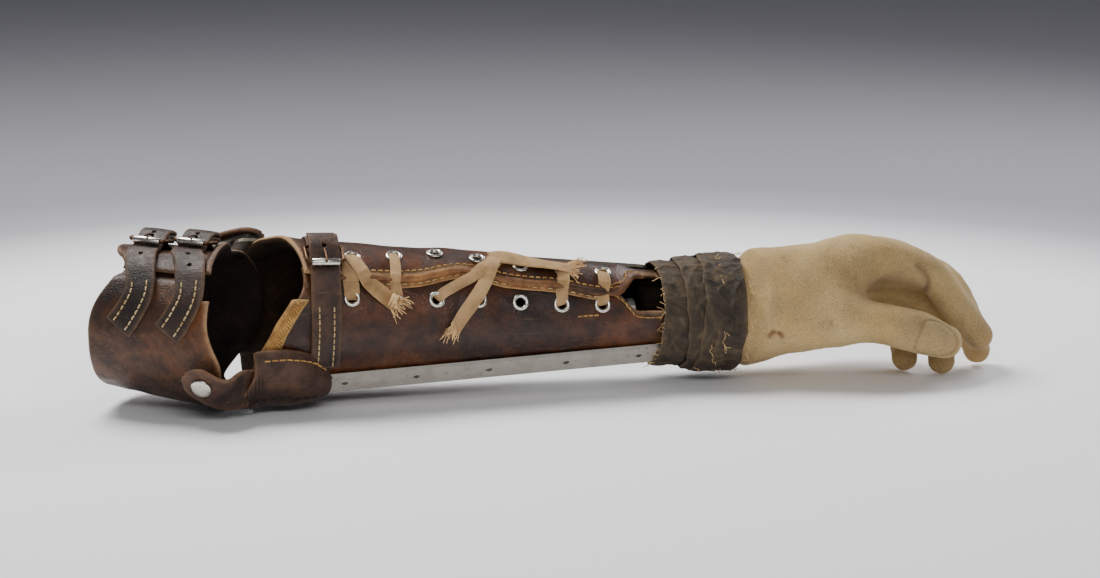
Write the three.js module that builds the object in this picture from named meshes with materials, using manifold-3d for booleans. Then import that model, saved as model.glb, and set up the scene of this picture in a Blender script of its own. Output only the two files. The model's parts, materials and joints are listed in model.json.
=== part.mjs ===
// A left below-elbow prosthetic arm of laced leather on steel side bars, with a buckled upper-arm
// cuff and a soft glove-like hand. Millimetres and degrees, +Z up, origin on the resting surface.
import * as THREE from 'three';
import { mergeVertices } from 'three/addons/utils/BufferGeometryUtils.js';
import Module from 'manifold-3d';

const wasm = await Module();
wasm.setup();

// Resting posture of the forearm and the cuff
const ELBOW_HEIGHT = 44;
const FOREARM_ROLL = 49;
const FOREARM_PITCH = 1.9;
const CUFF_YAW = -27.5;
const CUFF_PITCH = 4;
const CUFF_OFFSET = [-23.2, -13.1, 0.3];

// Forearm socket: a leather cone, x runs from the elbow to the wrist
const ELBOW_RADIUS = 40.2;
const WRIST_RADIUS = 23;
const SOCKET_END = 203;
const SOCKET_ROWS = 11;
const SOCKET_RINGS = 32;
const SOCKET_TAPER = (ELBOW_RADIUS - WRIST_RADIUS) / 200;
const LEATHER = 3;
const BRIM_BACK = -14;
const BRIM_RISE = 24;
const FLAP_LIFT = 3.4;
const FLAP_RAMP_START = 62;
const FLAP_RAMP_END = 34;
const GAP = 0.3;

// Lacing
const EYELETS_PER_ROW = 7;
const EYELET_PITCH = 22.4;
const EYELET_START = 34.5;
const EYELET_HOLE = 2.5;
const LACE_WIDTH = 7;
const LACE_THICKNESS = 1.2;
const LACE_LIFT = 2.4;

// Side bars, elbow pivots and their covers
const BAR_WIDTH = 16;
const BAR_THICKNESS = 2;
const BAR_END = 206;
const BAR_LIFT = 0.4;
const PIVOT_X = -12;
const PIVOT_RADIUS = 2.4;
const LINK_WIDTH = 13;
const LINK_THICKNESS = 2;
const LINK_CLEARANCE = 1.4;
const TAB_WIDTH = 21;
const TAB_ROOT_WIDTH = 13;
const TAB_THICKNESS = 2.6;
const COVER_START = -18;
const COVER_END = 24;
const COVER_WALL = 1.8;
const MEDIAL_RIVETS = [33, 71, 110, 152, 192];
const LATERAL_RIVETS = [33, 110, 192];

// Straps and roller buckles
const STRAP_WIDTH = 15.5;
const STRAP_THICKNESS = 2;
const FOREARM_STRAP_X = 20.8;
const STRAP_LIFT = 2.1;
const BUCKLE_LENGTH = 14;
const WIRE_RADIUS = 1.1;
const ROLLER_RADIUS = 2;
const ROLLER_HEIGHT = 6;
const REAR_BAR_HEIGHT = 3.2;

// Upper-arm cuff: a short leather cone, s runs from its distal rim towards the shoulder
const CUFF_LENGTH = 66;
const CUFF_DISTAL_RADIUS = 44.3;
const CUFF_PROXIMAL_RADIUS = 39;
const CUFF_RIVET_HEAD = 5.25;
const RIVET_PLAY = 1;
const MEDIAL_CUFF_RIVET = { s: -1.6, phi: -26 };
const LATERAL_CUFF_RIVET = { s: 36, phi: 150 };
const HINGE_STANDOFF = 3.4;

// Wrist and hand
const TAPE_START = 201;
const TAPE_STEP = 218;
const TAPE_END = 252;
const TAPE_SMALL_RADIUS = 27.2;
const TAPE_LARGE_RADIUS = 30.4;
const BLOCK_RADIUS = 19;
const STUD_RADIUS = 5;
const HAND_START = 222;

const radians = THREE.MathUtils.degToRad;
const smoothstep = THREE.MathUtils.smoothstep;
const lerp = THREE.MathUtils.lerp;
const vector = (x, y, z) => new THREE.Vector3(x, y, z);

// ---- solids ---------------------------------------------------------------------------------

function steps(from, to, count) {
  return Array.from({ length: count + 1 }, (_, i) => lerp(from, to, i / count));
}

function geometryFrom(positions, indices) {
  const geometry = new THREE.BufferGeometry();
  geometry.setAttribute('position', new THREE.Float32BufferAttribute(positions, 3));
  geometry.setIndex(indices);
  return geometry;
}

function signedVolume(points, indices) {
  let volume = 0;
  for (let i = 0; i < indices.length; i += 3) {
    const [a, b, c] = [points[indices[i]], points[indices[i + 1]], points[indices[i + 2]]];
    volume += a.dot(b.clone().cross(c));
  }
  return volume / 6;
}

// Skin over a row of rings with equal point counts. Point k of a ring faces point last - k, so the
// two open ends are capped with strips; a closed loft joins its last ring to its first.
function loft(rings, closed = false) {
  const size = rings[0].length;
  const points = rings.flat();
  const indices = [];
  const spans = closed ? rings.length : rings.length - 1;
  for (let i = 0; i < spans; i += 1) {
    const near = i * size;
    const far = ((i + 1) % rings.length) * size;
    for (let k = 0; k < size; k += 1) {
      const next = (k + 1) % size;
      indices.push(near + k, near + next, far + next, near + k, far + next, far + k);
    }
  }
  if (!closed) {
    const last = (rings.length - 1) * size;
    for (let k = 0; k < size / 2 - 1; k += 1) {
      const [a, b, c, d] = [k, k + 1, size - 2 - k, size - 1 - k];
      indices.push(a, c, b, a, d, c);
      indices.push(last + a, last + b, last + c, last + a, last + c, last + d);
    }
  }
  if (signedVolume(points, indices) < 0) {
    for (let i = 0; i < indices.length; i += 3) {
      [indices[i], indices[i + 1]] = [indices[i + 1], indices[i]];
    }
  }
  return geometryFrom(points.flatMap((p) => p.toArray()), indices);
}

function toSolid(geometry) {
  const bare = geometry.clone();
  bare.deleteAttribute('normal');
  bare.deleteAttribute('uv');
  const merged = mergeVertices(bare, 1e-4);
  return new wasm.Manifold(new wasm.Mesh({
    numProp: 3,
    vertProperties: new Float32Array(merged.attributes.position.array),
    triVerts: new Uint32Array(merged.index.array),
  }));
}

function fromSolid(solid) {
  const mesh = solid.getMesh();
  return geometryFrom(Array.from(mesh.vertProperties), Array.from(mesh.triVerts));
}

function cut(geometry, tools) {
  const remaining = tools.reduce((body, tool) => body.subtract(toSolid(tool)), toSolid(geometry));
  return fromSolid(remaining);
}

function join(geometries) {
  return fromSolid(geometries.map(toSolid).reduce((body, extra) => body.add(extra)));
}

// Turned piece: profile points are [radius, height] and height runs along the given direction
function turned(profile, origin, direction, segments) {
  const outline = profile.map(([radius, height]) => new THREE.Vector2(radius, height));
  const geometry = new THREE.LatheGeometry(outline, segments);
  const turn = new THREE.Quaternion().setFromUnitVectors(vector(0, 1, 0), direction.clone().normalize());
  return geometry.applyQuaternion(turn).translate(origin.x, origin.y, origin.z);
}

function rod(radius, low, high, origin, direction, segments = 12) {
  return turned([[0, low], [radius, low], [radius, high], [0, high]], origin, direction, segments);
}

// Flat band along a row of stations, each with a centre, an outward normal and a half width
function band(stations, thickness) {
  const rings = stations.map(({ centre, normal, half }, i) => {
    const before = stations[Math.max(i - 1, 0)].centre;
    const after = stations[Math.min(i + 1, stations.length - 1)].centre;
    const side = after.clone().sub(before).cross(normal).normalize().multiplyScalar(half);
    const rise = normal.clone().normalize().multiplyScalar(thickness / 2);
    return [
      centre.clone().sub(side).add(rise),
      centre.clone().add(side).add(rise),
      centre.clone().add(side).sub(rise),
      centre.clone().sub(side).sub(rise),
    ];
  });
  return loft(rings);
}

// Half width of a band that ends in a half round at one or both ends
function roundedHalf(distance, length, half, roundStart, roundEnd) {
  const fromEnd = Math.min(roundStart ? distance : half, roundEnd ? length - distance : half, half);
  return Math.max(Math.sqrt(Math.max(half * half - (half - fromEnd) ** 2, 0)), half * 0.3);
}

// Round wire or rod that follows a row of centres, with its radius at each one
function wire(centres, radii, sides, closed = false) {
  const count = centres.length;
  const neighbour = (i) => (closed ? centres[(i + count) % count] : centres[Math.min(Math.max(i, 0), count - 1)]);
  let across = null;
  const rings = centres.map((centre, i) => {
    const along = neighbour(i + 1).clone().sub(neighbour(i - 1)).normalize();
    const guide = across ?? (Math.abs(along.z) < 0.8 ? vector(0, 0, 1) : vector(1, 0, 0));
    across = guide.clone().sub(along.clone().multiplyScalar(guide.dot(along))).normalize();
    const up = along.clone().cross(across);
    return Array.from({ length: sides }, (_, k) => {
      const turn = ((k + 0.5) / sides) * 2 * Math.PI;
      return centre.clone()
        .addScaledVector(across, radii[i] * Math.cos(turn))
        .addScaledVector(up, radii[i] * Math.sin(turn));
    });
  });
  return loft(rings, closed);
}

// Finger-like limb: joints are [x, y, z, radius], smoothly joined and closed with rounded ends
function limb(joints, sides, perJoint) {
  const path = new THREE.CatmullRomCurve3(joints.map(([x, y, z]) => vector(x, y, z)), false, 'centripetal');
  const count = (joints.length - 1) * perJoint;
  const radiusAt = (t) => {
    const place = Math.min(t * (joints.length - 1), joints.length - 1 - 1e-6);
    const i = Math.floor(place);
    return lerp(joints[i][3], joints[i + 1][3], smoothstep(place - i, 0, 1));
  };
  const centres = steps(0, 1, count).map((t) => path.getPoint(t));
  const radii = steps(0, 1, count).map(radiusAt);
  const startWay = centres[0].clone().sub(centres[1]).normalize();
  const endWay = centres[count].clone().sub(centres[count - 1]).normalize();
  for (const rise of [0.6, 0.9, 1]) {
    const narrow = Math.max(Math.sqrt(1 - rise * rise), 0.12);
    centres.unshift(path.getPoint(0).addScaledVector(startWay, rise * radiusAt(0)));
    radii.unshift(narrow * radiusAt(0));
    centres.push(path.getPoint(1).addScaledVector(endWay, rise * radiusAt(1)));
    radii.push(narrow * radiusAt(1));
  }
  return wire(centres, radii, sides);
}

// ---- materials ------------------------------------------------------------------------------

function material(colour, roughness, metalness = 0) {
  return new THREE.MeshStandardMaterial({ color: colour, roughness, metalness });
}

const finishes = {
  socketLeather: material(0x5a3420, 0.55),
  strapLeather: material(0x3a2318, 0.6),
  tabLeather: material(0x4a2f22, 0.6),
  bindingLeather: material(0x9a6a2e, 0.8),
  lace: material(0xa08764, 0.9),
  steel: material(0x9a9894, 0.4, 1),
  nickel: material(0xb8b4ac, 0.3, 1),
  wood: material(0x8a6844, 0.7),
  tape: material(0x3c352f, 0.85),
  felt: material(0x9c875f, 0.95),
};

// ---- forearm surface ------------------------------------------------------------------------

const socketRadius = (x) => ELBOW_RADIUS - SOCKET_TAPER * x;

// Point on the forearm: alpha turns from the front of the forearm towards its medial side
function forearmPoint(x, alpha, lift = 0) {
  const radius = socketRadius(x) + lift;
  return vector(x, -radius * Math.sin(radians(alpha)), radius * Math.cos(radians(alpha)));
}

function forearmNormal(alpha) {
  return vector(0, -Math.sin(radians(alpha)), Math.cos(radians(alpha)));
}

function brimAt(alpha) {
  const turn = alpha > 180 ? alpha - 360 : alpha;
  const spread = turn > 0 ? 75 : 125;
  const share = Math.abs(turn) < spread ? (0.5 + 0.5 * Math.cos((Math.PI * turn) / spread)) ** 1.4 : 0;
  return BRIM_BACK + BRIM_RISE * share;
}

function lacingLine(x) {
  return -2 - 14 * Math.exp(-(((x - 90) / 10) ** 2)) + 8 * smoothstep(x, 141, 170);
}

const lateralEdge = (x) => lacingLine(x) - 32 * smoothstep(x, 176, 190);
const medialEdge = (x) => lacingLine(x) - 8 + 29 * smoothstep(x, 174, 190);

// The lateral flap rises over the medial one along the lacing, and lies flat again at the wrist
function flapLift(x, alpha) {
  const turn = alpha > 180 ? alpha - 360 : alpha;
  const edge = lateralEdge(x);
  const inside = turn <= 0 || alpha > 180 ? smoothstep(turn, edge - FLAP_RAMP_START, edge - FLAP_RAMP_END) : 0;
  return FLAP_LIFT * inside * (1 - smoothstep(x, 177, 193));
}

const eyeletX = (i) => EYELET_START + EYELET_PITCH * i;
const medialEyeletAlpha = (i) => 15.5 + 4 * smoothstep(i, 3, 5);
const lateralEyeletAlpha = (i) => -22 - 15 * Math.exp(-(((eyeletX(i) - 85) / 28) ** 2));

function eyeletSpots() {
  return Array.from({ length: EYELETS_PER_ROW }, (_, i) => i).flatMap((i) => [
    { name: `medial_eyelet_${i + 1}`, x: eyeletX(i), alpha: medialEyeletAlpha(i), lift: 0 },
    {
      name: `lateral_eyelet_${i + 1}`,
      x: eyeletX(i) + 1.8,
      alpha: lateralEyeletAlpha(i),
      lift: flapLift(eyeletX(i) + 1.8, lateralEyeletAlpha(i)),
    },
  ]);
}

// Places along the forearm, from the brim to the wrist, where the leather's outline has its points
function socketRows(alpha) {
  return steps(brimAt(alpha), SOCKET_END, SOCKET_ROWS);
}

const liftAt = (x, alpha, share) => (share > 0.5 ? flapLift(x, alpha) : 0);

function socketGeometry() {
  const rings = steps(0, 1, SOCKET_RINGS).map((share) => {
    const line = socketRows(lerp(medialEdge(0), 360 + lateralEdge(0), share));
    const alphas = line.map((x) => lerp(medialEdge(x), 360 + lateralEdge(x), share));
    const outer = line.map((x, k) => forearmPoint(x, alphas[k], liftAt(x, alphas[k], share)));
    const inner = line.map((x, k) => forearmPoint(x, alphas[k], liftAt(x, alphas[k], share) - LEATHER));
    return [...outer, ...inner.reverse()];
  });
  const holes = eyeletSpots().map(({ x, alpha, lift }) => rod(
    EYELET_HOLE + GAP, -LEATHER - 2, 2, forearmPoint(x, alpha, lift), forearmNormal(alpha), 8,
  ));
  return cut(loft(rings), [...holes, ...rivetTools(-1, MEDIAL_RIVETS), ...rivetTools(1, LATERAL_RIVETS)]);
}

// Leather binding folded over the medial part of the brim
function bindingGeometry() {
  const depth = 5.4;
  const skin = 1.3;
  const inside = -LEATHER - 2 * GAP;
  const rings = steps(19, 74, 14).map((alpha) => {
    const edge = brimAt(alpha);
    const at = (x, lift) => forearmPoint(x, alpha, lift);
    return [
      at(edge + depth, GAP + skin), at(edge + 1, GAP + skin), at(edge - GAP - skin, GAP + skin * 0.4),
      at(edge - GAP - skin, inside - skin * 0.4), at(edge + 1, inside - skin),
      at(edge + depth, inside - skin), at(edge + depth, inside),
      at(edge + 1, inside), at(edge - GAP, inside + 0.2), at(edge - GAP, GAP - 0.2),
      at(edge + 1, GAP), at(edge + depth, GAP),
    ];
  });
  return loft(rings);
}

// Rolled lip that finishes the lateral lacing edge
function lacingRollGeometry() {
  const radius = 1.4;
  const rows = socketRows(lateralEdge(0)).filter((x) => x > 32 && x < 172);
  const centres = rows.map((x) => {
    const alpha = lateralEdge(x);
    const beside = THREE.MathUtils.radToDeg((radius + 2 * GAP) / socketRadius(x));
    return forearmPoint(x, alpha + beside, flapLift(x, alpha + 360) - LEATHER / 2 + 0.6);
  });
  return wire(centres, centres.map(() => radius), 8);
}

function eyeletGeometry({ x, alpha, lift }) {
  const profile = [
    [1.9, -LEATHER], [EYELET_HOLE, -LEATHER], [EYELET_HOLE, GAP + 0.1], [4.3, GAP + 0.1],
    [4.2, GAP + 0.7], [3.2, GAP + 1.1], [1.9, GAP + 0.5], [1.9, -LEATHER],
  ];
  return turned(profile, forearmPoint(x, alpha, lift), forearmNormal(alpha), 11);
}

// Lace that lies over the flaps: turning points are [x, alpha, extra lift]
function laceGeometry(turns) {
  const path = new THREE.CatmullRomCurve3(turns.map(([x, alpha, extra]) => vector(x, alpha, extra)));
  const stations = steps(0, 1, turns.length * 4).map((t) => {
    const { x, y: alpha, z: extra } = path.getPoint(t);
    const lift = LACE_LIFT + extra + (alpha < 20 ? FLAP_LIFT * (1 - smoothstep(alpha, -2, 12)) : 0);
    return { centre: forearmPoint(x, alpha, lift), normal: forearmNormal(alpha), half: LACE_WIDTH / 2 };
  });
  return band(stations, LACE_THICKNESS);
}

// ---- side bars and elbow --------------------------------------------------------------------

// Frame of a side bar: x along the bar, z away from the forearm, origin level with the elbow
function barGroup(side) {
  const group = new THREE.Group();
  const lean = new THREE.Matrix4().makeRotationZ(-side * Math.atan(SOCKET_TAPER));
  const face = new THREE.Matrix4().makeRotationX(-side * Math.PI / 2);
  group.applyMatrix4(lean.multiply(face));
  group.position.set(0, side * (ELBOW_RADIUS + BAR_LIFT), 0);
  group.updateMatrix();
  return group;
}

function barPoint(side, x, height) {
  return vector(x, 0, height).applyMatrix4(barGroup(side).matrix);
}

function barNormal(side) {
  return barPoint(side, 0, 1).sub(barPoint(side, 0, 0));
}

function stadium(start, end, half) {
  const shape = new THREE.Shape();
  shape.absarc(end - half, 0, half, -Math.PI / 2, Math.PI / 2);
  shape.absarc(start + half, 0, half, Math.PI / 2, 1.5 * Math.PI);
  return shape;
}

function roundHole(x, radius) {
  return new THREE.Path().absarc(x, 0, radius, 0, 2 * Math.PI, true);
}

function extruded(shape, low, high, curveSegments = 5) {
  const depth = high - low;
  return new THREE.ExtrudeGeometry(shape, { depth, bevelEnabled: false, curveSegments }).translate(0, 0, low);
}

function barGeometry(rivets) {
  const shape = stadium(PIVOT_X - BAR_WIDTH / 2, BAR_END, BAR_WIDTH / 2);
  shape.holes = [roundHole(PIVOT_X, PIVOT_RADIUS + GAP)];
  const sinks = rivets.map((x) => {
    const profile = [[0, -1], [1.9, -1], [1.9, 0.8], [3, BAR_THICKNESS], [3, BAR_THICKNESS + 1], [0, BAR_THICKNESS + 1]];
    return turned(profile, vector(x, 0, 0), vector(0, 0, 1), 10);
  });
  return cut(extruded(shape, 0, BAR_THICKNESS), sinks);
}

function rivetTools(side, rivets) {
  return rivets.map((x) => rod(1.9, -12, 2, barPoint(side, x, 0), barNormal(side), 7));
}

// Countersunk rivet, peened almost flush with the bar's face
function barRivetGeometry(side, x) {
  const top = BAR_THICKNESS - 0.1;
  const profile = [[0, -LEATHER], [1.6, -LEATHER], [1.6, 0.8], [2.6, top], [0, top]];
  return turned(profile, barPoint(side, x, 0), barNormal(side), 10);
}

// Leather cover over the elbow pivot: a bowed sheet that stands clear of the pin and runs down to
// the bar at its far end. The part that the links swing through is left open.
function coverGeometry(side, frontOpening, backOpening) {
  const outline = new THREE.SplineCurve(
    [[-5.7, 29.2], [-0.5, 27], [6, 21.5], [11.8, 11], [12, -1], [8.4, -9.2], [3, -11.6]]
      .map(([height, front]) => new THREE.Vector2(height, front)),
  );
  const shares = steps(0, 1, 11);
  const inward = (t) => {
    const way = outline.getTangent(t);
    return new THREE.Vector2(way.y, -way.x).normalize().multiplyScalar(COVER_WALL);
  };
  const rings = steps(COVER_START, COVER_END, 8).map((x) => {
    const past = Math.max(x - COVER_END + 13, 0) / 13;
    const rise = Math.max(Math.sqrt(1 - past * past), 0.4);
    const at = (point) => {
      const hug = Math.sqrt(42.2 ** 2 - point.y ** 2) - 40.6;
      return vector(x, -side * point.y, lerp(hug, point.x, rise));
    };
    const outer = shares.map((t) => at(outline.getPoint(t)));
    const inner = shares.map((t) => at(outline.getPoint(t).add(inward(t))));
    return [...outer, ...inner.reverse()];
  });
  const opening = (end, front, back) => new THREE.BoxGeometry(end - COVER_START + 5, back - front, 30)
    .translate((end + COVER_START - 5) / 2, -side * (front + back) / 2, 0);
  return cut(loft(rings), [opening(frontOpening, 9, 36), opening(backOpening, -30, -7)]);
}

// Where a link starts, on the elbow axis outside its bar
function pivotPoint(side, height) {
  return vector(PIVOT_X, barPoint(side, PIVOT_X, height).y, 0);
}

function pivotPinGeometry(side) {
  const head = BAR_THICKNESS + LINK_CLEARANCE + LINK_THICKNESS + GAP;
  const profile = [
    [0, GAP], [PIVOT_RADIUS, GAP], [PIVOT_RADIUS, head], [4.2, head], [3.6, head + 1], [0, head + 1.2],
  ];
  return turned(profile, pivotPoint(side, 0), vector(0, side, 0), 14);
}

// ---- upper-arm cuff surface -----------------------------------------------------------------

const forearmMatrix = new THREE.Matrix4().makeRotationY(radians(FOREARM_PITCH))
  .multiply(new THREE.Matrix4().makeRotationX(radians(FOREARM_ROLL)));
const cuffMatrix = new THREE.Matrix4().makeTranslation(...CUFF_OFFSET)
  .multiply(new THREE.Matrix4().makeRotationZ(radians(CUFF_YAW)))
  .multiply(new THREE.Matrix4().makeRotationY(radians(CUFF_PITCH)));
const cuffToForearm = forearmMatrix.clone().invert().multiply(cuffMatrix);

const cuffRadius = (s) => lerp(CUFF_DISTAL_RADIUS, CUFF_PROXIMAL_RADIUS, s / CUFF_LENGTH);

// The straps pull the top of the cuff flat between its two rims
function cuffDent(s, phi) {
  const turn = ((phi % 360) + 360) % 360;
  const hollow = bump(turn, CUFF_DENT_PHI, turn < CUFF_DENT_PHI ? 36 : 27);
  return CUFF_DENT * hollow * smoothstep(s, 4, 11) * (1 - 0.6 * smoothstep(s, 57, 67));
}

// Point on the cuff: phi turns from the side nearest the body's front up over the top
function cuffPoint(s, phi, lift = 0) {
  const radius = cuffRadius(s) - cuffDent(s, phi) + lift;
  return vector(-s, -radius * Math.cos(radians(phi)), radius * Math.sin(radians(phi)));
}

function cuffNormal(phi) {
  return vector(0, -Math.cos(radians(phi)), Math.sin(radians(phi)));
}

const cuffNearEdge = (s) => 26 + 19.4 * smoothstep(s, 8, 22);
const CUFF_FAR_EDGE = 47;
const CUFF_DENT = 8;
const CUFF_DENT_PHI = 100;

function bump(value, centre, width) {
  return Math.exp(-(((value - centre) / width) ** 2));
}

// phi runs down from the near edge, under the arm and up to the far edge, so it is below 26 here
function cuffDistalRim(phi) {
  return 14 * bump(phi, -133, 22) + 9 * bump(phi, -245, 34) + 5 * bump(phi, -300, 25) - 8 * bump(phi, -22, 20) - 1;
}

function cuffProximalRim(phi) {
  return CUFF_LENGTH - 13 * smoothstep(phi, -30, 30) ** 1.5 - 13 * bump(phi, -313, 20) - 2;
}

function cuffGeometry() {
  const rings = steps(0, 1, 36).map((share) => {
    const guess = lerp(26, CUFF_FAR_EDGE - 360, share);
    const line = [0, 0.06, 0.12, 0.2, 0.4, 0.6, 0.86, 1]
      .map((along) => lerp(cuffDistalRim(guess), cuffProximalRim(guess), along));
    const angle = (s) => lerp(cuffNearEdge(s), CUFF_FAR_EDGE - 360, share);
    const outer = line.map((s) => cuffPoint(s, angle(s)));
    const inner = line.map((s) => cuffPoint(s, angle(s), -LEATHER));
    return [...outer, ...inner.reverse()];
  });
  const holes = [MEDIAL_CUFF_RIVET, LATERAL_CUFF_RIVET].map(({ s, phi }) => rod(
    PIVOT_RADIUS + RIVET_PLAY, -LEATHER - 2, 2, cuffPoint(s, phi), cuffNormal(phi),
  ));
  return cut(loft(rings), holes);
}

// Stations from the elbow pivot to a cuff rivet, in the forearm's frame, a height above the link
function hingeStations(side, rivet, height, startReach, endReach, widthAt, roundStart) {
  const start = pivotPoint(side, BAR_THICKNESS + LINK_CLEARANCE + height);
  const end = cuffPoint(rivet.s, rivet.phi, HINGE_STANDOFF + height).applyMatrix4(cuffToForearm);
  const startNormal = vector(0, side, 0);
  const endNormal = cuffNormal(rivet.phi).transformDirection(cuffToForearm);
  const flat = (way, normal) => way.clone().addScaledVector(normal, -way.dot(normal)).normalize();
  const reach = end.clone().sub(start);
  const startWay = flat(reach, startNormal);
  const endWay = flat(reach, endNormal);
  const curve = new THREE.CubicBezierCurve3(
    start,
    start.clone().addScaledVector(startWay, reach.length() * 0.52),
    end.clone().addScaledVector(endWay, -reach.length() * 0.42),
    end,
  );
  const length = reach.length();
  const total = length + startReach + endReach;
  return steps(-startReach, length + endReach, 17).map((distance) => {
    const share = THREE.MathUtils.clamp(distance / length, 0, 1);
    const centre = curve.getPoint(share);
    if (distance < 0) centre.addScaledVector(startWay, distance);
    if (distance > length) centre.addScaledVector(endWay, distance - length);
    return {
      centre,
      normal: startNormal.clone().lerp(endNormal, smoothstep(share, 0, 1)).normalize(),
      half: roundedHalf(distance + startReach, total, widthAt(distance) / 2, roundStart, true),
    };
  });
}

function hingeHoles(side, rivet) {
  const end = cuffPoint(rivet.s, rivet.phi).applyMatrix4(cuffToForearm);
  const endNormal = cuffNormal(rivet.phi).transformDirection(cuffToForearm);
  return [
    rod(PIVOT_RADIUS + GAP, -2, 20, pivotPoint(side, 0), vector(0, side, 0)),
    rod(PIVOT_RADIUS + GAP, -2, 20, end, endNormal),
  ];
}

function linkGeometry(side, rivet) {
  const reach = LINK_WIDTH / 2;
  const stations = hingeStations(side, rivet, LINK_THICKNESS / 2, reach, reach, () => LINK_WIDTH, true);
  return cut(band(stations, LINK_THICKNESS), hingeHoles(side, rivet));
}

function tabGeometry(side, rivet, setBack, endReach) {
  const height = LINK_THICKNESS + GAP + 0.2 + TAB_THICKNESS / 2;
  const widthAt = (distance) => lerp(TAB_ROOT_WIDTH, TAB_WIDTH, smoothstep(distance, 6, 18));
  const stations = hingeStations(side, rivet, height, -setBack, endReach, widthAt, false);
  return cut(band(stations, TAB_THICKNESS), hingeHoles(side, rivet).slice(1));
}

function cuffRivetGeometry(rivet) {
  const top = HINGE_STANDOFF + LINK_THICKNESS + GAP + 0.2 + TAB_THICKNESS + 0.6;
  const profile = [
    [0, -LEATHER - 2.4], [4.6, -LEATHER - 2.2], [4.6, -LEATHER - 1.3], [PIVOT_RADIUS, -LEATHER - 1.3],
    [PIVOT_RADIUS, top], [CUFF_RIVET_HEAD, top], [CUFF_RIVET_HEAD - 0.6, top + 0.9], [0, top + 1.4],
  ];
  const origin = cuffPoint(rivet.s, rivet.phi).applyMatrix4(cuffToForearm);
  return turned(profile, origin, cuffNormal(rivet.phi).transformDirection(cuffToForearm), 16);
}

// ---- buckles and straps ---------------------------------------------------------------------

// Buckle frame of reference: x along the strap to its tip, y across it, z out of the leather
function buckleMatrix(origin, along, out) {
  const across = out.clone().cross(along);
  return new THREE.Matrix4().makeBasis(along, across, out).setPosition(origin);
}

const ROLLER_AT = -BUCKLE_LENGTH / 2;
const REAR_BAR_AT = BUCKLE_LENGTH / 2;

function buckleFrameGeometry() {
  const half = STRAP_WIDTH / 2 + 1.7;
  const corner = 2;
  const height = (x) => lerp(ROLLER_HEIGHT, REAR_BAR_HEIGHT, (x - ROLLER_AT) / BUCKLE_LENGTH);
  const centres = [];
  for (const [cx, cy, from] of [
    [REAR_BAR_AT - corner, half - corner, 0], [ROLLER_AT + corner, half - corner, 90],
    [ROLLER_AT + corner, corner - half, 180], [REAR_BAR_AT - corner, corner - half, 270],
  ]) {
    for (const turn of steps(from, from + 90, 2)) {
      const x = cx + corner * Math.cos(radians(turn));
      centres.push(vector(x, cy + corner * Math.sin(radians(turn)), height(x)));
    }
  }
  return wire(centres, centres.map(() => WIRE_RADIUS), 8, true);
}

function rollerGeometry() {
  const inner = WIRE_RADIUS + GAP;
  const half = STRAP_WIDTH / 2 - 0.6;
  const profile = [[inner, -half], [ROLLER_RADIUS, -half], [ROLLER_RADIUS, half], [inner, half], [inner, -half]];
  return turned(profile, vector(ROLLER_AT, 0, ROLLER_HEIGHT), vector(0, 1, 0), 14);
}

const prongRoot = vector(REAR_BAR_AT, 0, REAR_BAR_HEIGHT);
const prongTip = vector(ROLLER_AT - 2.4, 0, ROLLER_HEIGHT + ROLLER_RADIUS + 1.1);

function prongGeometry() {
  const eyeRadius = WIRE_RADIUS + GAP + 0.75;
  const eye = steps(0, 324, 9).map((turn) => vector(
    REAR_BAR_AT + eyeRadius * Math.cos(radians(turn)), 0, REAR_BAR_HEIGHT + eyeRadius * Math.sin(radians(turn)),
  ));
  const start = vector(REAR_BAR_AT - 0.4, 0, REAR_BAR_HEIGHT + eyeRadius + 0.15);
  const shank = steps(0, 1, 5).map((t) => start.clone().lerp(prongTip, t).add(vector(0, 0, 0.9 * Math.sin(Math.PI * t))));
  return join([
    wire(eye, eye.map(() => 0.75), 5, true),
    wire(shank, shank.map((_, i) => (i === 5 ? 0.6 : 0.8)), 6),
  ]);
}

// Room for the prong as it stands in the strap and as it lifts, in the buckle's own frame
function prongSlot(matrix, low, high) {
  return new THREE.BoxGeometry(high - low, 3.2, 14).translate((low + high) / 2, 0, 7).applyMatrix4(matrix);
}

// Strap: it lies on a surface, passes under the roller and over the rear bar, and ends in a tip
function strapStations(before, matrix, after) {
  const local = [
    [ROLLER_AT - 3, 0, 2.4], [ROLLER_AT, 0, 2.5], [ROLLER_AT + 3, 0, 3.6], [0, 0, 5.8],
    [3, 0, 7.4], [REAR_BAR_AT, 0, 8.4], [REAR_BAR_AT + 4, 0, 8],
  ].map(([x, y, z]) => vector(x, y, z).applyMatrix4(matrix));
  const across = vector(0, 1, 0).transformDirection(matrix);
  return bandAlong([...before, ...local, ...after], across, STRAP_WIDTH);
}

// Stations on a smooth line through the points, with the band's width kept along one direction
function bandAlong(points, across, width, roundEnd = true) {
  const path = new THREE.CatmullRomCurve3(points, false, 'centripetal');
  const length = path.getLength();
  return steps(0, 1, Math.round(points.length * 1.5)).map((t) => {
    const way = path.getTangentAt(t);
    return {
      centre: path.getPointAt(t),
      normal: across.clone().cross(way).negate().normalize(),
      half: roundedHalf(t * length, length, width / 2, false, roundEnd),
    };
  });
}

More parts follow.
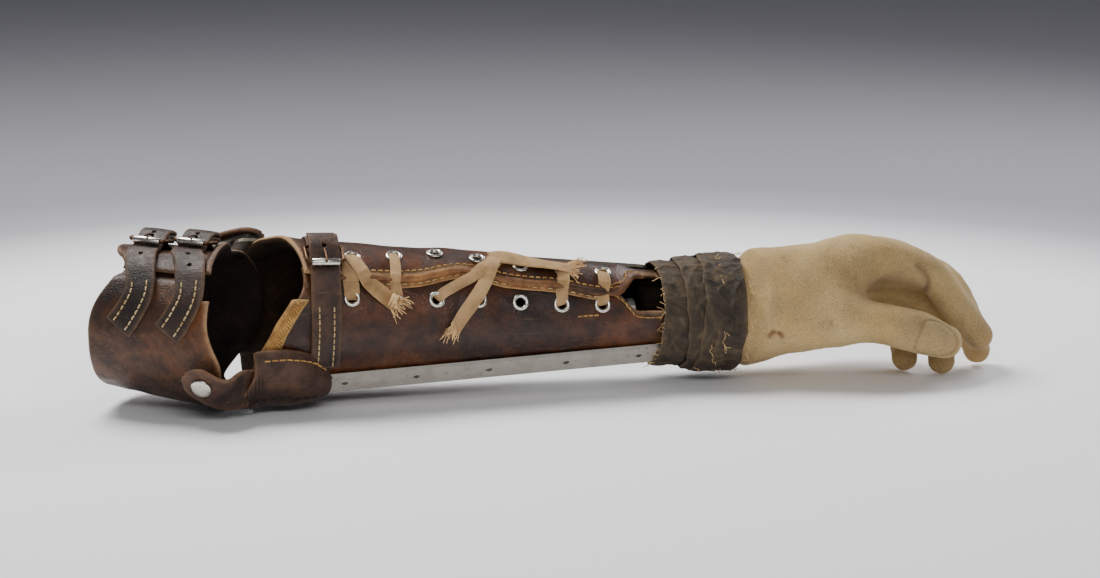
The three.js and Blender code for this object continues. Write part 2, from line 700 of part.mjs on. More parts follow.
// Chape: a short strap that loops round the rear bar and is sewn down behind the buckle
function chapeGeometry(matrix, tail) {
  const bar = vector(REAR_BAR_AT, 0, REAR_BAR_HEIGHT);
  const radius = WIRE_RADIUS + 0.4 + 0.7;
  const loop = steps(250, 90, 6).map((turn) => vector(
    bar.x + radius * Math.cos(radians(turn)), 0, bar.z + radius * Math.sin(radians(turn)),
  ));
  const upper = [vector(bar.x + 3, 0, bar.z + radius - 0.5), vector(bar.x + 6, 0, bar.z + radius - 1.7)];
  const points = [...tail, ...[...loop, ...upper].map((point) => point.applyMatrix4(matrix))];
  const across = vector(0, 1, 0).transformDirection(matrix);
  const path = new THREE.CatmullRomCurve3(points, false, 'centripetal');
  const stations = steps(0, 1, Math.round(points.length * 1.6)).map((t) => ({
    centre: path.getPointAt(t),
    normal: across.clone().cross(path.getTangentAt(t)).normalize(),
    half: STRAP_WIDTH / 2 - 0.5,
  }));
  return cut(band(stations, 1.4), [prongSlot(matrix, -2, REAR_BAR_AT + 4.5)]);
}

// ---- wrist and hand -------------------------------------------------------------------------

function tapeGeometry() {
  const wraps = [
    [TAPE_START, TAPE_SMALL_RADIUS], [TAPE_STEP - 1, TAPE_SMALL_RADIUS], [TAPE_STEP, TAPE_LARGE_RADIUS],
    [TAPE_END, TAPE_LARGE_RADIUS],
  ];
  const thickness = (x) => (x < TAPE_STEP - 0.5 ? 0.9 : 1.5);
  const rings = steps(0, 360 - 360 / 28, 27).map((alpha) => {
    const at = (x, radius) => vector(x, -radius * Math.sin(radians(alpha)), radius * Math.cos(radians(alpha)));
    const outer = wraps.map(([x, radius]) => at(x, radius));
    const inner = wraps.map(([x, radius]) => at(x, radius - thickness(x)));
    return [...outer, ...inner.reverse()];
  });
  return loft(rings, true);
}

function wristBlockGeometry() {
  const profile = [
    [STUD_RADIUS + GAP, 192], [BLOCK_RADIUS - 2, 192], [BLOCK_RADIUS, 194], [BLOCK_RADIUS, 214],
    [STUD_RADIUS + GAP, 214], [STUD_RADIUS + GAP, 192],
  ];
  return turned(profile, vector(0, 0, 0), vector(1, 0, 0), 20);
}

function wristStudGeometry() {
  const profile = [
    [0, 188], [8, 188], [8, 191.6], [STUD_RADIUS, 191.6], [STUD_RADIUS, 240], [STUD_RADIUS - 1, 242], [0, 242],
  ];
  return turned(profile, vector(0, 0, 0), vector(1, 0, 0), 16);
}

// The hand's joints as [x, y, z, radius] from a point under the elbow, level with the surface
const HAND_LIMBS = [
  [[234, -1, 37, 23], [256, -1, 36, 28], [272, 0, 38, 24]],
  [[250, -6, 46, 20], [280, -16, 56, 14], [311, -20.6, 66.4, 12], [337, -20, 63, 9.8],
    [351, -19, 56, 9.2], [368.5, -17, 35, 8.2], [382.5, -15, 19.5, 7.3]],
  [[252, -2, 42, 20], [285, -4, 51, 14], [318, -4, 58, 11.5], [348, -5, 56, 9.8],
    [364, -5, 49, 9.2], [379, -5, 28, 8.2], [385.5, -3, 9, 7.4]],
  [[250, 4, 38, 20], [282, 10, 42, 15], [314, 13, 49, 11], [344, 8, 46, 9.4],
    [358, 3, 37, 8.8], [363, -9, 20, 8], [359, -21, 8, 7.2]],
  [[248, 8, 34, 20], [278, 20, 33, 15], [305, 27, 39, 10], [328, 22, 37, 8.6],
    [340, 15, 29, 8], [345, 3, 15, 7.4], [342, -9, 7.6, 6.8]],
  [[250, -8, 30, 22], [274, -22, 34, 17], [296, -35, 36, 12.6], [319, -39, 33.5, 10.6],
    [340, -38, 27.5, 11], [355, -36, 21.8, 9]],
  [[246, 2, 27, 19], [270, 6, 25, 18], [295, 13, 27, 15]],
  [[268, -12, 44, 17], [292, -14, 50, 13], [308, -10, 54, 12]],
];

function handGeometry() {
  const body = join(HAND_LIMBS.map((joints) => limb(joints, 8, 2)));
  const axis = vector(1, 0, 0).transformDirection(forearmMatrix);
  const elbow = vector(0, 0, ELBOW_HEIGHT);
  const wristEnd = elbow.clone().addScaledVector(axis, HAND_START);
  const neck = TAPE_LARGE_RADIUS - 2.2;
  return cut(body, [
    rod(60, -60, 0, wristEnd, axis, 24),
    turned([[neck, -1], [60, -1], [60, TAPE_END + 1.5 - HAND_START], [neck, TAPE_END + 1.5 - HAND_START], [neck, -1]], wristEnd, axis, 32),
    rod(STUD_RADIUS + GAP + 0.2, 0, 22, wristEnd, axis, 16),
  ]);
}

// ---- assembly -------------------------------------------------------------------------------

const arm = new THREE.Group();
const forearm = new THREE.Group();
const cuff = new THREE.Group();
const elbowLift = new THREE.Matrix4().makeTranslation(0, 0, ELBOW_HEIGHT);
forearm.applyMatrix4(elbowLift.clone().multiply(forearmMatrix));
cuff.applyMatrix4(elbowLift.clone().multiply(cuffMatrix));
arm.add(forearm, cuff);

function place(parent, name, geometry, finish) {
  const mesh = new THREE.Mesh(geometry, finish.clone());
  mesh.name = name;
  parent.add(mesh);
  return mesh;
}

place(forearm, 'forearm_socket', socketGeometry(), finishes.socketLeather);
place(forearm, 'brim_binding', bindingGeometry(), finishes.bindingLeather);
place(forearm, 'lacing_edge_roll', lacingRollGeometry(), finishes.bindingLeather);
for (const spot of eyeletSpots()) {
  place(forearm, spot.name, eyeletGeometry(spot), finishes.nickel);
}
place(forearm, 'lace_proximal', laceGeometry([[37, -20, 0], [46, -6, 0], [57, 10, 0.6]]), finishes.lace);
place(forearm, 'lace_middle', laceGeometry([[79, 14, 0], [92, -4, 0], [106, -26, 0]]), finishes.lace);
place(forearm, 'lace_distal', laceGeometry([[112, -28, 0], [130, -20, 0.8], [147, -8, 1.6], [150, 14, 1]]), finishes.lace);

for (const [side, label, rivets, cuffRivet] of [
  [-1, 'medial', MEDIAL_RIVETS, MEDIAL_CUFF_RIVET],
  [1, 'lateral', LATERAL_RIVETS, LATERAL_CUFF_RIVET],
]) {
  const bar = barGroup(side);
  forearm.add(bar);
  place(bar, `${label}_side_bar`, barGeometry(rivets), finishes.steel);
  if (side < 0) place(bar, `${label}_joint_cover`, coverGeometry(side, 1, -16), finishes.strapLeather);
  place(forearm, `${label}_pivot_pin`, pivotPinGeometry(side), finishes.steel);
  rivets.forEach((x, i) => {
    place(forearm, `${label}_bar_rivet_${i + 1}`, barRivetGeometry(side, x), finishes.steel);
  });
  place(forearm, `${label}_elbow_link`, linkGeometry(side, cuffRivet), finishes.steel);
  place(forearm, `${label}_hinge_tab`, tabGeometry(side, cuffRivet, 8, 13), finishes.tabLeather);
  place(forearm, `${label}_cuff_rivet`, cuffRivetGeometry(cuffRivet), finishes.nickel);
}

function placeBuckle(parent, label, matrix) {
  const group = new THREE.Group();
  group.applyMatrix4(matrix);
  parent.add(group);
  place(group, `${label}_buckle_frame`, buckleFrameGeometry(), finishes.nickel);
  place(group, `${label}_buckle_roller`, rollerGeometry(), finishes.nickel);
  place(group, `${label}_buckle_prong`, prongGeometry(), finishes.nickel);
}

// Forearm strap: sewn to the medial panel, buckled just past the lacing
const forearmBuckleAlpha = -14;
const forearmBuckle = buckleMatrix(
  forearmPoint(FOREARM_STRAP_X, forearmBuckleAlpha, FLAP_LIFT),
  vector(0, 1, 0).applyAxisAngle(vector(1, 0, 0), -radians(forearmBuckleAlpha) * -1),
  forearmNormal(forearmBuckleAlpha),
);
placeBuckle(forearm, 'forearm', forearmBuckle);
const forearmStrapStart = [66, 54, 42, 30, 20, 12, 4].map((alpha) => forearmPoint(
  FOREARM_STRAP_X, alpha, lerp(STRAP_LIFT, 5.6, 1 - smoothstep(alpha, 2, 22)),
));
const forearmStrapEnd = [-38].map((alpha) => forearmPoint(FOREARM_STRAP_X, alpha, 10.6));
place(
  forearm,
  'forearm_strap',
  cut(
    band(strapStations(forearmStrapStart, forearmBuckle, forearmStrapEnd), STRAP_THICKNESS),
    [prongSlot(forearmBuckle, -4, 6.5)],
  ),
  finishes.strapLeather,
);
const forearmChapeTail = [-66, -56, -46, -38, -32].map((alpha) => forearmPoint(
  FOREARM_STRAP_X, alpha, STRAP_LIFT - 0.4 + flapLift(FOREARM_STRAP_X, alpha),
));
place(forearm, 'forearm_chape', chapeGeometry(forearmBuckle, forearmChapeTail), finishes.strapLeather);

// Cuff straps: sewn aslant to the near panel, buckled on top of the far panel
place(cuff, 'cuff_shell', cuffGeometry(), finishes.socketLeather);
for (const [label, buckleS, foot] of [['proximal', 46, 47], ['distal', 22, 20]]) {
  const bucklePhi = 88;
  const matrix = buckleMatrix(
    cuffPoint(buckleS, bucklePhi, 0.9),
    vector(0, Math.sin(radians(bucklePhi)), Math.cos(radians(bucklePhi))),
    cuffNormal(bucklePhi),
  );
  placeBuckle(cuff, label, matrix);
  const start = [
    [foot, -4], [foot - 3.5, 6], [foot - 7, 16], [foot - 9.4, 26], [foot - 8.6, 36], [foot - 6, 48],
    [foot - 4, 56], [buckleS - 1, 66],
  ].map(([s, phi]) => cuffPoint(s, phi, STRAP_LIFT + 1.1 * smoothstep(phi, 38, 50)));
  const end = [cuffPoint(buckleS, 113, 8.5)];
  place(
    cuff,
    `${label}_cuff_strap`,
    cut(band(strapStations(start, matrix, end), STRAP_THICKNESS), [prongSlot(matrix, -4, 6.5)]),
    finishes.strapLeather,
  );
  const tail = [138, 130, 122, 114, 107].map((phi) => cuffPoint(buckleS, phi, STRAP_LIFT - 0.4));
  place(cuff, `${label}_cuff_chape`, chapeGeometry(matrix, tail), finishes.strapLeather);
}

place(forearm, 'wrist_tape', tapeGeometry(), finishes.tape);
place(forearm, 'wrist_block', wristBlockGeometry(), finishes.wood);
place(forearm, 'wrist_stud', wristStudGeometry(), finishes.steel);
place(arm, 'hand', handGeometry(), finishes.felt);

// Origin: middle of the footprint, on the surface the arm rests on
arm.updateMatrixWorld(true);
const bounds = new THREE.Box3().setFromObject(arm, true);
const middle = bounds.getCenter(new THREE.Vector3());
arm.position.set(-middle.x, -middle.y, -bounds.min.z);
arm.updateMatrixWorld(true);

export default arm;
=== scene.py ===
"""Looks of the below-elbow prosthetic arm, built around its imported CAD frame.

Lengths are millimetres in each part's own frame and become metres when a mesh is made.
Forearm frame: x from elbow to wrist, y to the lateral side, z to the front. Cuff frame: x away
from the shoulder, y away from the camera side, z up. Colours are red, green and blue to 255.
"""
import json
import math

import bpy
import mathutils
import numpy as np
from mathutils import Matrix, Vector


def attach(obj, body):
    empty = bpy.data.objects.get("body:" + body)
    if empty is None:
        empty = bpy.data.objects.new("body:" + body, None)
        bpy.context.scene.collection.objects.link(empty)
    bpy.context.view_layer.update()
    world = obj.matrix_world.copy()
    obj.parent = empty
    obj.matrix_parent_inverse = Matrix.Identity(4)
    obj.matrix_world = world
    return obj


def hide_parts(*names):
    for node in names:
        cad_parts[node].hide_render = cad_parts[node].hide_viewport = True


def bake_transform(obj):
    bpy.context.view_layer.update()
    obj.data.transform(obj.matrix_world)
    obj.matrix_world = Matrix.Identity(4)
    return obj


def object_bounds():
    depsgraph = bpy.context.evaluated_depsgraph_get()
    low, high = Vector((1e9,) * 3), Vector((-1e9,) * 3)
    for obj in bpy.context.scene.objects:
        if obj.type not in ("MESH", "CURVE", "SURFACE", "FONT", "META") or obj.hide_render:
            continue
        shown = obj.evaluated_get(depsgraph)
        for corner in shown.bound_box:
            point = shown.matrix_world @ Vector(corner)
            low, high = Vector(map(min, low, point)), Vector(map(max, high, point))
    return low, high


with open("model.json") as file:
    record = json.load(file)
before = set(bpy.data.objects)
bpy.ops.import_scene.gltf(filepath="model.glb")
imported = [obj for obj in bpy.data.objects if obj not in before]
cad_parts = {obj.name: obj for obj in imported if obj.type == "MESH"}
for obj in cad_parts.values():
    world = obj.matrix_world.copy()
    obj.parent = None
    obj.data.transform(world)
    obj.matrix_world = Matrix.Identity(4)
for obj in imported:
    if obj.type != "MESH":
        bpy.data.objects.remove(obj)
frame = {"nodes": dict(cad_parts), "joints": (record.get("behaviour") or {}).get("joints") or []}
cad_low, cad_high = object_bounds()

MM = 0.001
JOINTS = {joint["name"]: joint for joint in frame["joints"]}
MEDIAL, LATERAL = -1, 1

# Posture, the same driving values as the CAD part
FOREARM_PITCH = 1.9
CUFF_YAW = -27.5
CUFF_PITCH = 4.0
CUFF_OFFSET = np.array([-23.2, -13.1, 0.3])
PIVOT_X = -12.0

# Forearm socket
ELBOW_RADIUS = 40.2
TAPER = 0.086
SOCKET_END = 203.0
LEATHER = 3.0
LEATHER_EDGE = 1.3
BRIM_BACK = -14.0
BRIM_RISE = 24.0
BRIM_BULGE = 3.2
BRIM_SPREAD = {MEDIAL: 75.0, LATERAL: 125.0}
BINDING_LEATHER = 1.0
FLAP_LIFT = 3.4
FLAP_OVERLAP = 8.0
WRIST_HOLE_TURN = {MEDIAL: 29.0, LATERAL: 32.0}
EYELET_PITCH = 22.4
EYELET_START = 34.5
EYELET_COUNT = 7
EYELET_BORE = 2.5
EYELET_TURN = {MEDIAL: 15.5, LATERAL: -18.0}
LACE_THICKNESS = 1.1
LACE_SWING = 0.25

# Side bars and hinge
BAR_LIFT = 0.4
BAR_THICKNESS = 2.0
BAR_RIVETS = {MEDIAL: (33, 71, 110, 152, 192), LATERAL: (33, 110, 192)}
LINK_CLEARANCE = 1.4
LINK_THICKNESS = 2.0
TAB_THICKNESS = 2.6
TAB_WIDTH = 19.6
TAB_OVERRUN = 10.5
TAB_TIP_RADIUS = 9.4
TAB_CROWN = 0.7
COVER_LEATHER = 1.7
HINGE_STANDOFF = 3.4
TAB_HEIGHT = LINK_THICKNESS + 0.5 + TAB_THICKNESS / 2
TAB_ROOT_FRONT = {MEDIAL: 12.0, LATERAL: 0.0}
TAB_LEAN = {MEDIAL: 0.75, LATERAL: 0.0}
TAB_START = {MEDIAL: 5.0, LATERAL: -9.0}
CUFF_RIVETS = {MEDIAL: (-1.6, -26.0), LATERAL: (36.0, 150.0)}

# Straps and buckles
STRAP_WIDTH = 15.5
STRAP_THICKNESS = 2.2
STRAP_LIFT = 2.1
STRAP_STITCH_OFFSET = 3.8
CHAPE_THICKNESS = 1.5
FOREARM_STRAP_X = 20.8
BUCKLE_LENGTH = 14.0
ROLLER_AT = -BUCKLE_LENGTH / 2
REAR_BAR_AT = BUCKLE_LENGTH / 2
ROLLER_HEIGHT = 6.0
REAR_BAR_HEIGHT = 3.2
WIRE_RADIUS = 1.0
PRONG_RADIUS = (0.8, 0.55)
PRONG_HOLE = (3.0, 0, 7.6)

# Cuff
CUFF_LENGTH = 66.0
CUFF_DISTAL_RADIUS = 44.3
CUFF_PROXIMAL_RADIUS = 39.0
CUFF_DENT = 8.0
CUFF_FAR_EDGE = 47.0 - 360

# Wrist tape
TAPE_STEP = 218.0
TAPE_END = 247.0
TAPE_RADIUS = (27.0, 30.2)
TAPE_THICKNESS = 0.9

# Stage and camera
ARM_MIDDLE = np.array([143.8, -11.6, 11.0])
VIEW_AZIMUTH = -13.0
VIEW_ELEVATION = 11.0
VIEW_DISTANCE = 1.6
LENS = 99.7
SENSOR_WIDTH = 36


# ---- frames and small maths -------------------------------------------------------------------

def unit(v):
    v = np.asarray(v, float)
    return v / np.maximum(np.linalg.norm(v, axis=-1, keepdims=True), 1e-12)


def turn_z(degrees):
    c, s = math.cos(math.radians(degrees)), math.sin(math.radians(degrees))
    return np.array([[c, -s, 0], [s, c, 0], [0, 0, 1]])


def turn_y(degrees):
    c, s = math.cos(math.radians(degrees)), math.sin(math.radians(degrees))
    return np.array([[c, 0, s], [0, 1, 0], [-s, 0, c]])


class Frame:
    """A part's own frame: columns of turn are its axes, origin is in metres."""

    def __init__(self, turn, origin):
        self.turn = np.asarray(turn, float)
        self.origin = np.asarray(origin, float)

    def out(self, points):
        return np.asarray(points, float) @ self.turn.T * MM + self.origin

    def out_way(self, ways):
        return np.asarray(ways, float) @ self.turn.T

    def into(self, points):
        return (np.asarray(points, float) - self.origin) @ self.turn / MM


lateral_way = unit(JOINTS["elbow_flex"]["axis"])
along = turn_y(FOREARM_PITCH) @ np.array([1.0, 0, 0])
elbow_centre = np.array(JOINTS["elbow_flex"]["pos_m"]) - along * PIVOT_X * MM
FOREARM = Frame(np.stack([along, lateral_way, np.cross(along, lateral_way)], 1), elbow_centre)
CUFF = Frame(turn_z(CUFF_YAW) @ turn_y(CUFF_PITCH), elbow_centre + CUFF_OFFSET * MM)
WORLD = Frame(np.eye(3), np.zeros(3))
LEVEL = Frame(np.eye(3), [elbow_centre[0], elbow_centre[1], 0.0])


def smoothstep(x, low, high):
    t = np.clip((np.asarray(x, float) - low) / (high - low), 0, 1)
    return t * t * (3 - 2 * t)


def mix(a, b, t):
    return a + (b - a) * t


def bump(x, centre, width):
    return np.exp(-(((np.asarray(x, float) - centre) / width) ** 2))


def circle(count):
    """Even angles of a full turn, in radians."""
    return np.arange(count) / count * 2 * math.pi


def ripples(points, wavelength, seed, count=9):
    """Smooth repeatable unevenness, mostly between -1 and 1."""
    random = np.random.default_rng(seed)
    ways = unit(random.normal(size=(count, 3)))
    lengths = wavelength * random.uniform(0.7, 1.5, count)
    phases = random.uniform(0, 2 * math.pi, count)
    waves = np.sin(np.asarray(points, float) @ (ways / lengths[:, None]).T * 2 * math.pi + phases)
    return waves.sum(-1) / math.sqrt(count)


def along_turn(alpha, scale):
    """Points on a line, for ripples that only run round the arm."""
    return np.stack([alpha * scale, 0 * alpha, 0 * alpha], -1)


def curve(line, shares, values=None):
    """Smooth line through points at shares of its length, or the values that go with its points."""
    line = np.asarray(line, float)
    points = line if values is None else np.broadcast_to(np.asarray(values, float), line.shape)
    gaps = np.linalg.norm(np.diff(line, axis=0), axis=1)
    place = np.concatenate([[0], np.cumsum(gaps)])
    slopes = np.gradient(points, place, axis=0)
    at = np.clip(np.asarray(shares, float), 0, 1) * place[-1]
    i = np.clip(np.searchsorted(place, at, side="right") - 1, 0, len(points) - 2)
    h = (place[i + 1] - place[i])[:, None]
    t = ((at - place[i]) / (place[i + 1] - place[i]))[:, None]
    return ((2 * t ** 3 - 3 * t ** 2 + 1) * points[i] + (t ** 3 - 2 * t ** 2 + t) * h * slopes[i]
            + (3 * t ** 2 - 2 * t ** 3) * points[i + 1] + (t ** 3 - t ** 2) * h * slopes[i + 1])


def length_of(points):
    return float(np.linalg.norm(np.diff(np.asarray(points, float), axis=0), axis=1).sum())


# ---- meshes -----------------------------------------------------------------------------------

def point_field(mesh, name, values):
    """Stores one value for each point, which a material can read."""
    attribute = mesh.attributes.new(name, "FLOAT", "POINT")
    attribute.data.foreach_set("value", np.asarray(values, np.float32))


def make(name, shape, materials, body, part=WORLD, node=None, face_slots=None, fields=None, uvs=None):
    """Smooth object from (points, faces) in a part's frame. It rides on a CAD body and may take
    the place of a CAD node."""
    points, faces = shape
    mesh = bpy.data.meshes.new(name)
    mesh.from_pydata(part.out(points).tolist(), [], [list(map(int, face)) for face in faces])
    mesh.validate()
    for material in materials:
        mesh.materials.append(material)
    if face_slots is not None:
        mesh.polygons.foreach_set("material_index", np.asarray(face_slots, np.int32))
    mesh.polygons.foreach_set("use_smooth", np.ones(len(mesh.polygons), bool))
    for field, values in (fields or {}).items():
        point_field(mesh, field, values)
    if uvs is not None:
        corners = np.zeros(len(mesh.loops), np.int32)
        mesh.loops.foreach_get("vertex_index", corners)
        layer = mesh.uv_layers.new(name="UVMap")
        layer.data.foreach_set("uv", np.asarray(uvs, np.float32)[corners].ravel())
    mesh.update()
    obj = bpy.data.objects.new(name, mesh)
    bpy.context.scene.collection.objects.link(obj)
    if body:
        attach(obj, body)
    if node:
        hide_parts(node)
    return obj


def bake(obj):
    """Applies the object's modifiers to its mesh."""
    graph = bpy.context.evaluated_depsgraph_get()
    mesh = bpy.data.meshes.new_from_object(obj.evaluated_get(graph))
    obj.modifiers.clear()
    obj.data = mesh


def drill(obj, tools, part):
    """Cuts closed shapes out of an object."""
    cutter = make("cutter", merge(tools), [], None, part)
    hole = obj.modifiers.new("holes", "BOOLEAN")
    hole.object = cutter
    hole.operation = "DIFFERENCE"
    hole.solver = "EXACT"
    bake(obj)
    bpy.data.objects.remove(cutter)


def merge(parts):
    """Joins (points, faces) pairs into one."""
    points, faces, start = [], [], 0
    for some_points, some_faces in parts:
        points.append(some_points)
        faces.extend([tuple(i + start for i in face) for face in some_faces])
        start += len(some_points)
    return np.concatenate(points), faces


def shares(count, length, edge):
    """Even steps from 0 to 1, with closer ones inside both ends where a sheet's edge is rounded."""
    near = edge / length * np.array([0.0, 0.05, 0.2, 0.5, 1.0])
    middle = np.linspace(0, 1, count)
    middle = middle[(middle > near[-1] * 1.3) & (middle < 1 - near[-1] * 1.3)]
    return np.concatenate([near, middle, 1 - near[::-1]])


def grid_lengths(points, axis):
    """Length covered along one axis of a grid of points."""
    steps = np.linalg.norm(np.diff(points, axis=axis), axis=-1)
    zero = np.zeros_like(np.take(steps, [0], axis))
    return np.concatenate([zero, np.cumsum(steps, axis)], axis)


def sheet(name, surface, size, counts, thickness, part, body, slot, finishes, edge=None, ring=False,
          groove=None, rim=1.0, node=None):
    """Closed leather or cloth sheet with rounded edges. surface(u, v) is its middle, u and v 0 to 1.
    size is its rough length both ways; groove is (distance from the edge, depth)."""
    edge = edge or thickness * 0.45
    u = np.arange(counts[0]) / counts[0] if ring else shares(counts[0], size[0], edge)
    v = shares(counts[1], size[1], edge)
    grid_u, grid_v = np.meshgrid(u, v, indexing="ij")
    middle = surface(grid_u, grid_v)
    if ring:
        du = np.roll(middle, -1, 0) - np.roll(middle, 1, 0)
    else:
        du = np.gradient(middle, axis=0)
    normal = unit(np.cross(du, np.gradient(middle, axis=1)))
    lengths_u, lengths_v = grid_lengths(middle, 0), grid_lengths(middle, 1)
    border = np.minimum(lengths_v, lengths_v[:, -1:] - lengths_v)
    if not ring:
        border = np.minimum(border, np.minimum(lengths_u, lengths_u[-1:] - lengths_u))
    half = thickness / 2 * np.sqrt(1 - (1 - np.clip(border / edge, 0, 1)) ** 2)
    dent = groove[1] * bump(border, groove[0], 0.55) if groove else 0.0
    outer = middle + normal * (half - dent)[..., None]
    inner = middle - normal * half[..., None]
    count = border.size
    top = np.arange(count).reshape(border.shape)
    under = top + count
    under[:, 0], under[:, -1] = top[:, 0], top[:, -1]
    if not ring:
        under[0], under[-1] = top[0], top[-1]
    used, index = np.unique(np.concatenate([top.ravel(), under.ravel()]), return_inverse=True)
    top = index[:count].reshape(top.shape)
    under = index[count:].reshape(under.shape)
    faces = []
    for i in range(len(u) if ring else len(u) - 1):
        n = (i + 1) % len(u)
        for k in range(len(v) - 1):
            faces.append((top[i, k], top[n, k], top[n, k + 1], top[i, k + 1]))
            faces.append((under[i, k], under[i, k + 1], under[n, k + 1], under[n, k]))
    face_slots = np.arange(len(faces)) % 2 * min(1, len(finishes) - 1)
    pick = lambda values: np.concatenate([values.reshape(count, -1)] * 2)[used]
    worn = np.exp(-border / 0.9) * (rim(grid_u, grid_v) if callable(rim) else rim)
    points = np.concatenate([outer.reshape(-1, 3), inner.reshape(-1, 3)])[used]
    return make(name, (points, faces), finishes, body, part, node, face_slots,
                {"rim": pick(worn)[:, 0]}, pick(np.stack([lengths_u, lengths_v], -1)))


def ribbon(name, centres, across, width, thickness, part, body, slot, finishes, taper=None, sag=0.0,
           count=None, **options):
    """Strap or lace along centres, kept flat along the across vectors."""
    centres = np.asarray(centres, float)
    across = np.broadcast_to(np.asarray(across, float), centres.shape)
    length = length_of(centres)

    def surface(u, v):
        middle = curve(centres, u[:, 0])
        side = unit(curve(centres, u[:, 0], across))
        way = unit(np.gradient(middle, axis=0))
        out = unit(np.cross(way, side))
        half = width / 2 * (taper(u[:, 0] * length, length) if taper else np.ones(len(middle)))
        w = 2 * v - 1
        return (middle[:, None] + side[:, None] * (w * half[:, None])[..., None]
                - out[:, None] * (sag * w ** 2)[..., None])

    return sheet(name, surface, (length, width), (count or max(int(length / 1.2), 8), 13), thickness,
                 part, body, slot, finishes, **options)


def rounded_tip(half=7.75, at_start=False, least=0.12):
    """Width share that closes the far end of a strap, or both its ends, in a half round."""

    def share(distance, length):
        room = np.minimum(half, length - distance)
        if at_start:
            room = np.minimum(room, distance)
        return np.maximum(np.sqrt(np.clip(1 - (1 - room / half) ** 2, 0, 1)), least)

    return share


def tube(centres, radius, sides=12, closed=False, squash=1.0, guide=None):
    """Round wire along centres, with rounded ends. Returns (points, faces)."""
    centres = np.asarray(centres, float)
    radii = np.broadcast_to(np.asarray(radius, float), (len(centres),)).copy()
    if closed:
        way = unit(np.roll(centres, -1, 0) - np.roll(centres, 1, 0))
    else:
        first, last = centres[0], centres[-1]
        back, ahead = unit(first - centres[1]) * radii[0], unit(last - centres[-2]) * radii[-1]
        first_radius, last_radius = radii[0], radii[-1]
        for rise in (0.55, 0.85, 1.0):
            narrow = max(math.sqrt(1 - rise ** 2), 0.05)
            centres = np.concatenate([[first + back * rise], centres, [last + ahead * rise]])
            radii = np.concatenate([[narrow * first_radius], radii, [narrow * last_radius]])
        way = unit(np.gradient(centres, axis=0))
    side = np.array([0.0, 0, 1]) if guide is None else np.asarray(guide, float)
    if guide is None and abs(way[0] @ side) > 0.8:
        side = np.array([1.0, 0, 0])
    across = []
    for w in way:
        side = unit(side - w * (side @ w))
        across.append(side)
    across = np.array(across)
    up = np.cross(way, across)
    turn = circle(sides)
    ring = (across[:, None] * np.cos(turn)[None, :, None] * squash
            + up[:, None] * np.sin(turn)[None, :, None])
    points = (centres[:, None] + ring * radii[:, None, None]).reshape(-1, 3)
    faces = ring_faces(len(centres), sides, closed)
    if not closed:
        faces += end_faces(len(centres), sides)
    return points, faces


def ring_faces(count, sides, closed=False):
    """Faces between count rings of points, which join up again if closed."""
    faces = []
    for i in range(count if closed else count - 1):
        n = (i + 1) % count
        for k in range(sides):
            j = (k + 1) % sides
            faces.append((i * sides + k, i * sides + j, n * sides + j, n * sides + k))
    return faces


def end_faces(count, sides):
    return [tuple(range(sides))[::-1], tuple(range((count - 1) * sides, count * sides))]


def lathe(profile, origin, direction, segments=40):
    """Turned solid: profile is (radius, height) from the axis back to the axis or to its start."""
    direction = unit(direction)
    side = unit(np.cross(direction, [0.3, 0.5, 0.8]))
    up = np.cross(direction, side)
    turn = circle(segments)
    ring = side * np.cos(turn)[:, None] + up * np.sin(turn)[:, None]
    points = np.concatenate([origin + direction * h + ring * max(r, 0.02) for r, h in profile])
    faces = ring_faces(len(profile), segments)
    if profile[0] != profile[-1]:
        faces += end_faces(len(profile), segments)
    return points, faces


def stitch_row(path, outs, pitch=3.2, length=2.3, radius=0.36, slant=0.0):
    """Thread stitches along a path on a surface whose outward ways are outs."""
    path, outs = np.asarray(path, float), np.asarray(outs, float)
    total = length_of(path)
    reach = np.array([-0.5, -0.36, 0, 0.36, 0.5]) * length
    rise = np.array([-0.75, 0.05, 0.3, 0.05, -0.75])
    parts = []
    for place in np.arange(pitch / 2, total - pitch / 4, pitch):
        share = np.array([place / total - 0.004, place / total, place / total + 0.004])
        spot = curve(path, share)
        out = unit(curve(path, share, outs)[1])
        way = unit(spot[2] - spot[0])
        way = unit(way + np.cross(out, way) * slant)
        centres = spot[1] + way * reach[:, None] + out * rise[:, None]
        parts.append(tube(centres, radius, 6, guide=out))
    return merge(parts)


def threads(roots, ways, reach, radius, seed, curl):
    """Loose thread ends that leave their roots roughly along ways."""
    random = np.random.default_rng(seed)
    parts = []
    for root, way in zip(roots, ways):
        size = reach * random.uniform(0.45, 1.1)
        bend = random.normal(size=3) * curl
        steps = np.linspace(0, 1, 7)[:, None]
        wave = np.sin(steps * random.uniform(2, 6)) * random.normal(size=3) * curl * 0.5
        centres = root + size * (unit(way) * steps + bend * steps ** 2 * 0.6 + wave * 0.3)
        parts.append(tube(centres, radius * random.uniform(0.7, 1.2), 5))
    return merge(parts)


# ---- materials --------------------------------------------------------------------------------

def srgb(red, green, blue):
    """Linear colour from 0 to 255 values."""
    parts = (c / 255 for c in (red, green, blue))
    return tuple(((c + 0.055) / 1.055) ** 2.4 if c > 0.04 else c / 12.92 for c in parts) + (1,)


def tone(colour):
    """What a colour input takes: a socket as it is, or a plain colour made linear."""
    return srgb(*colour) if isinstance(colour, tuple) else colour


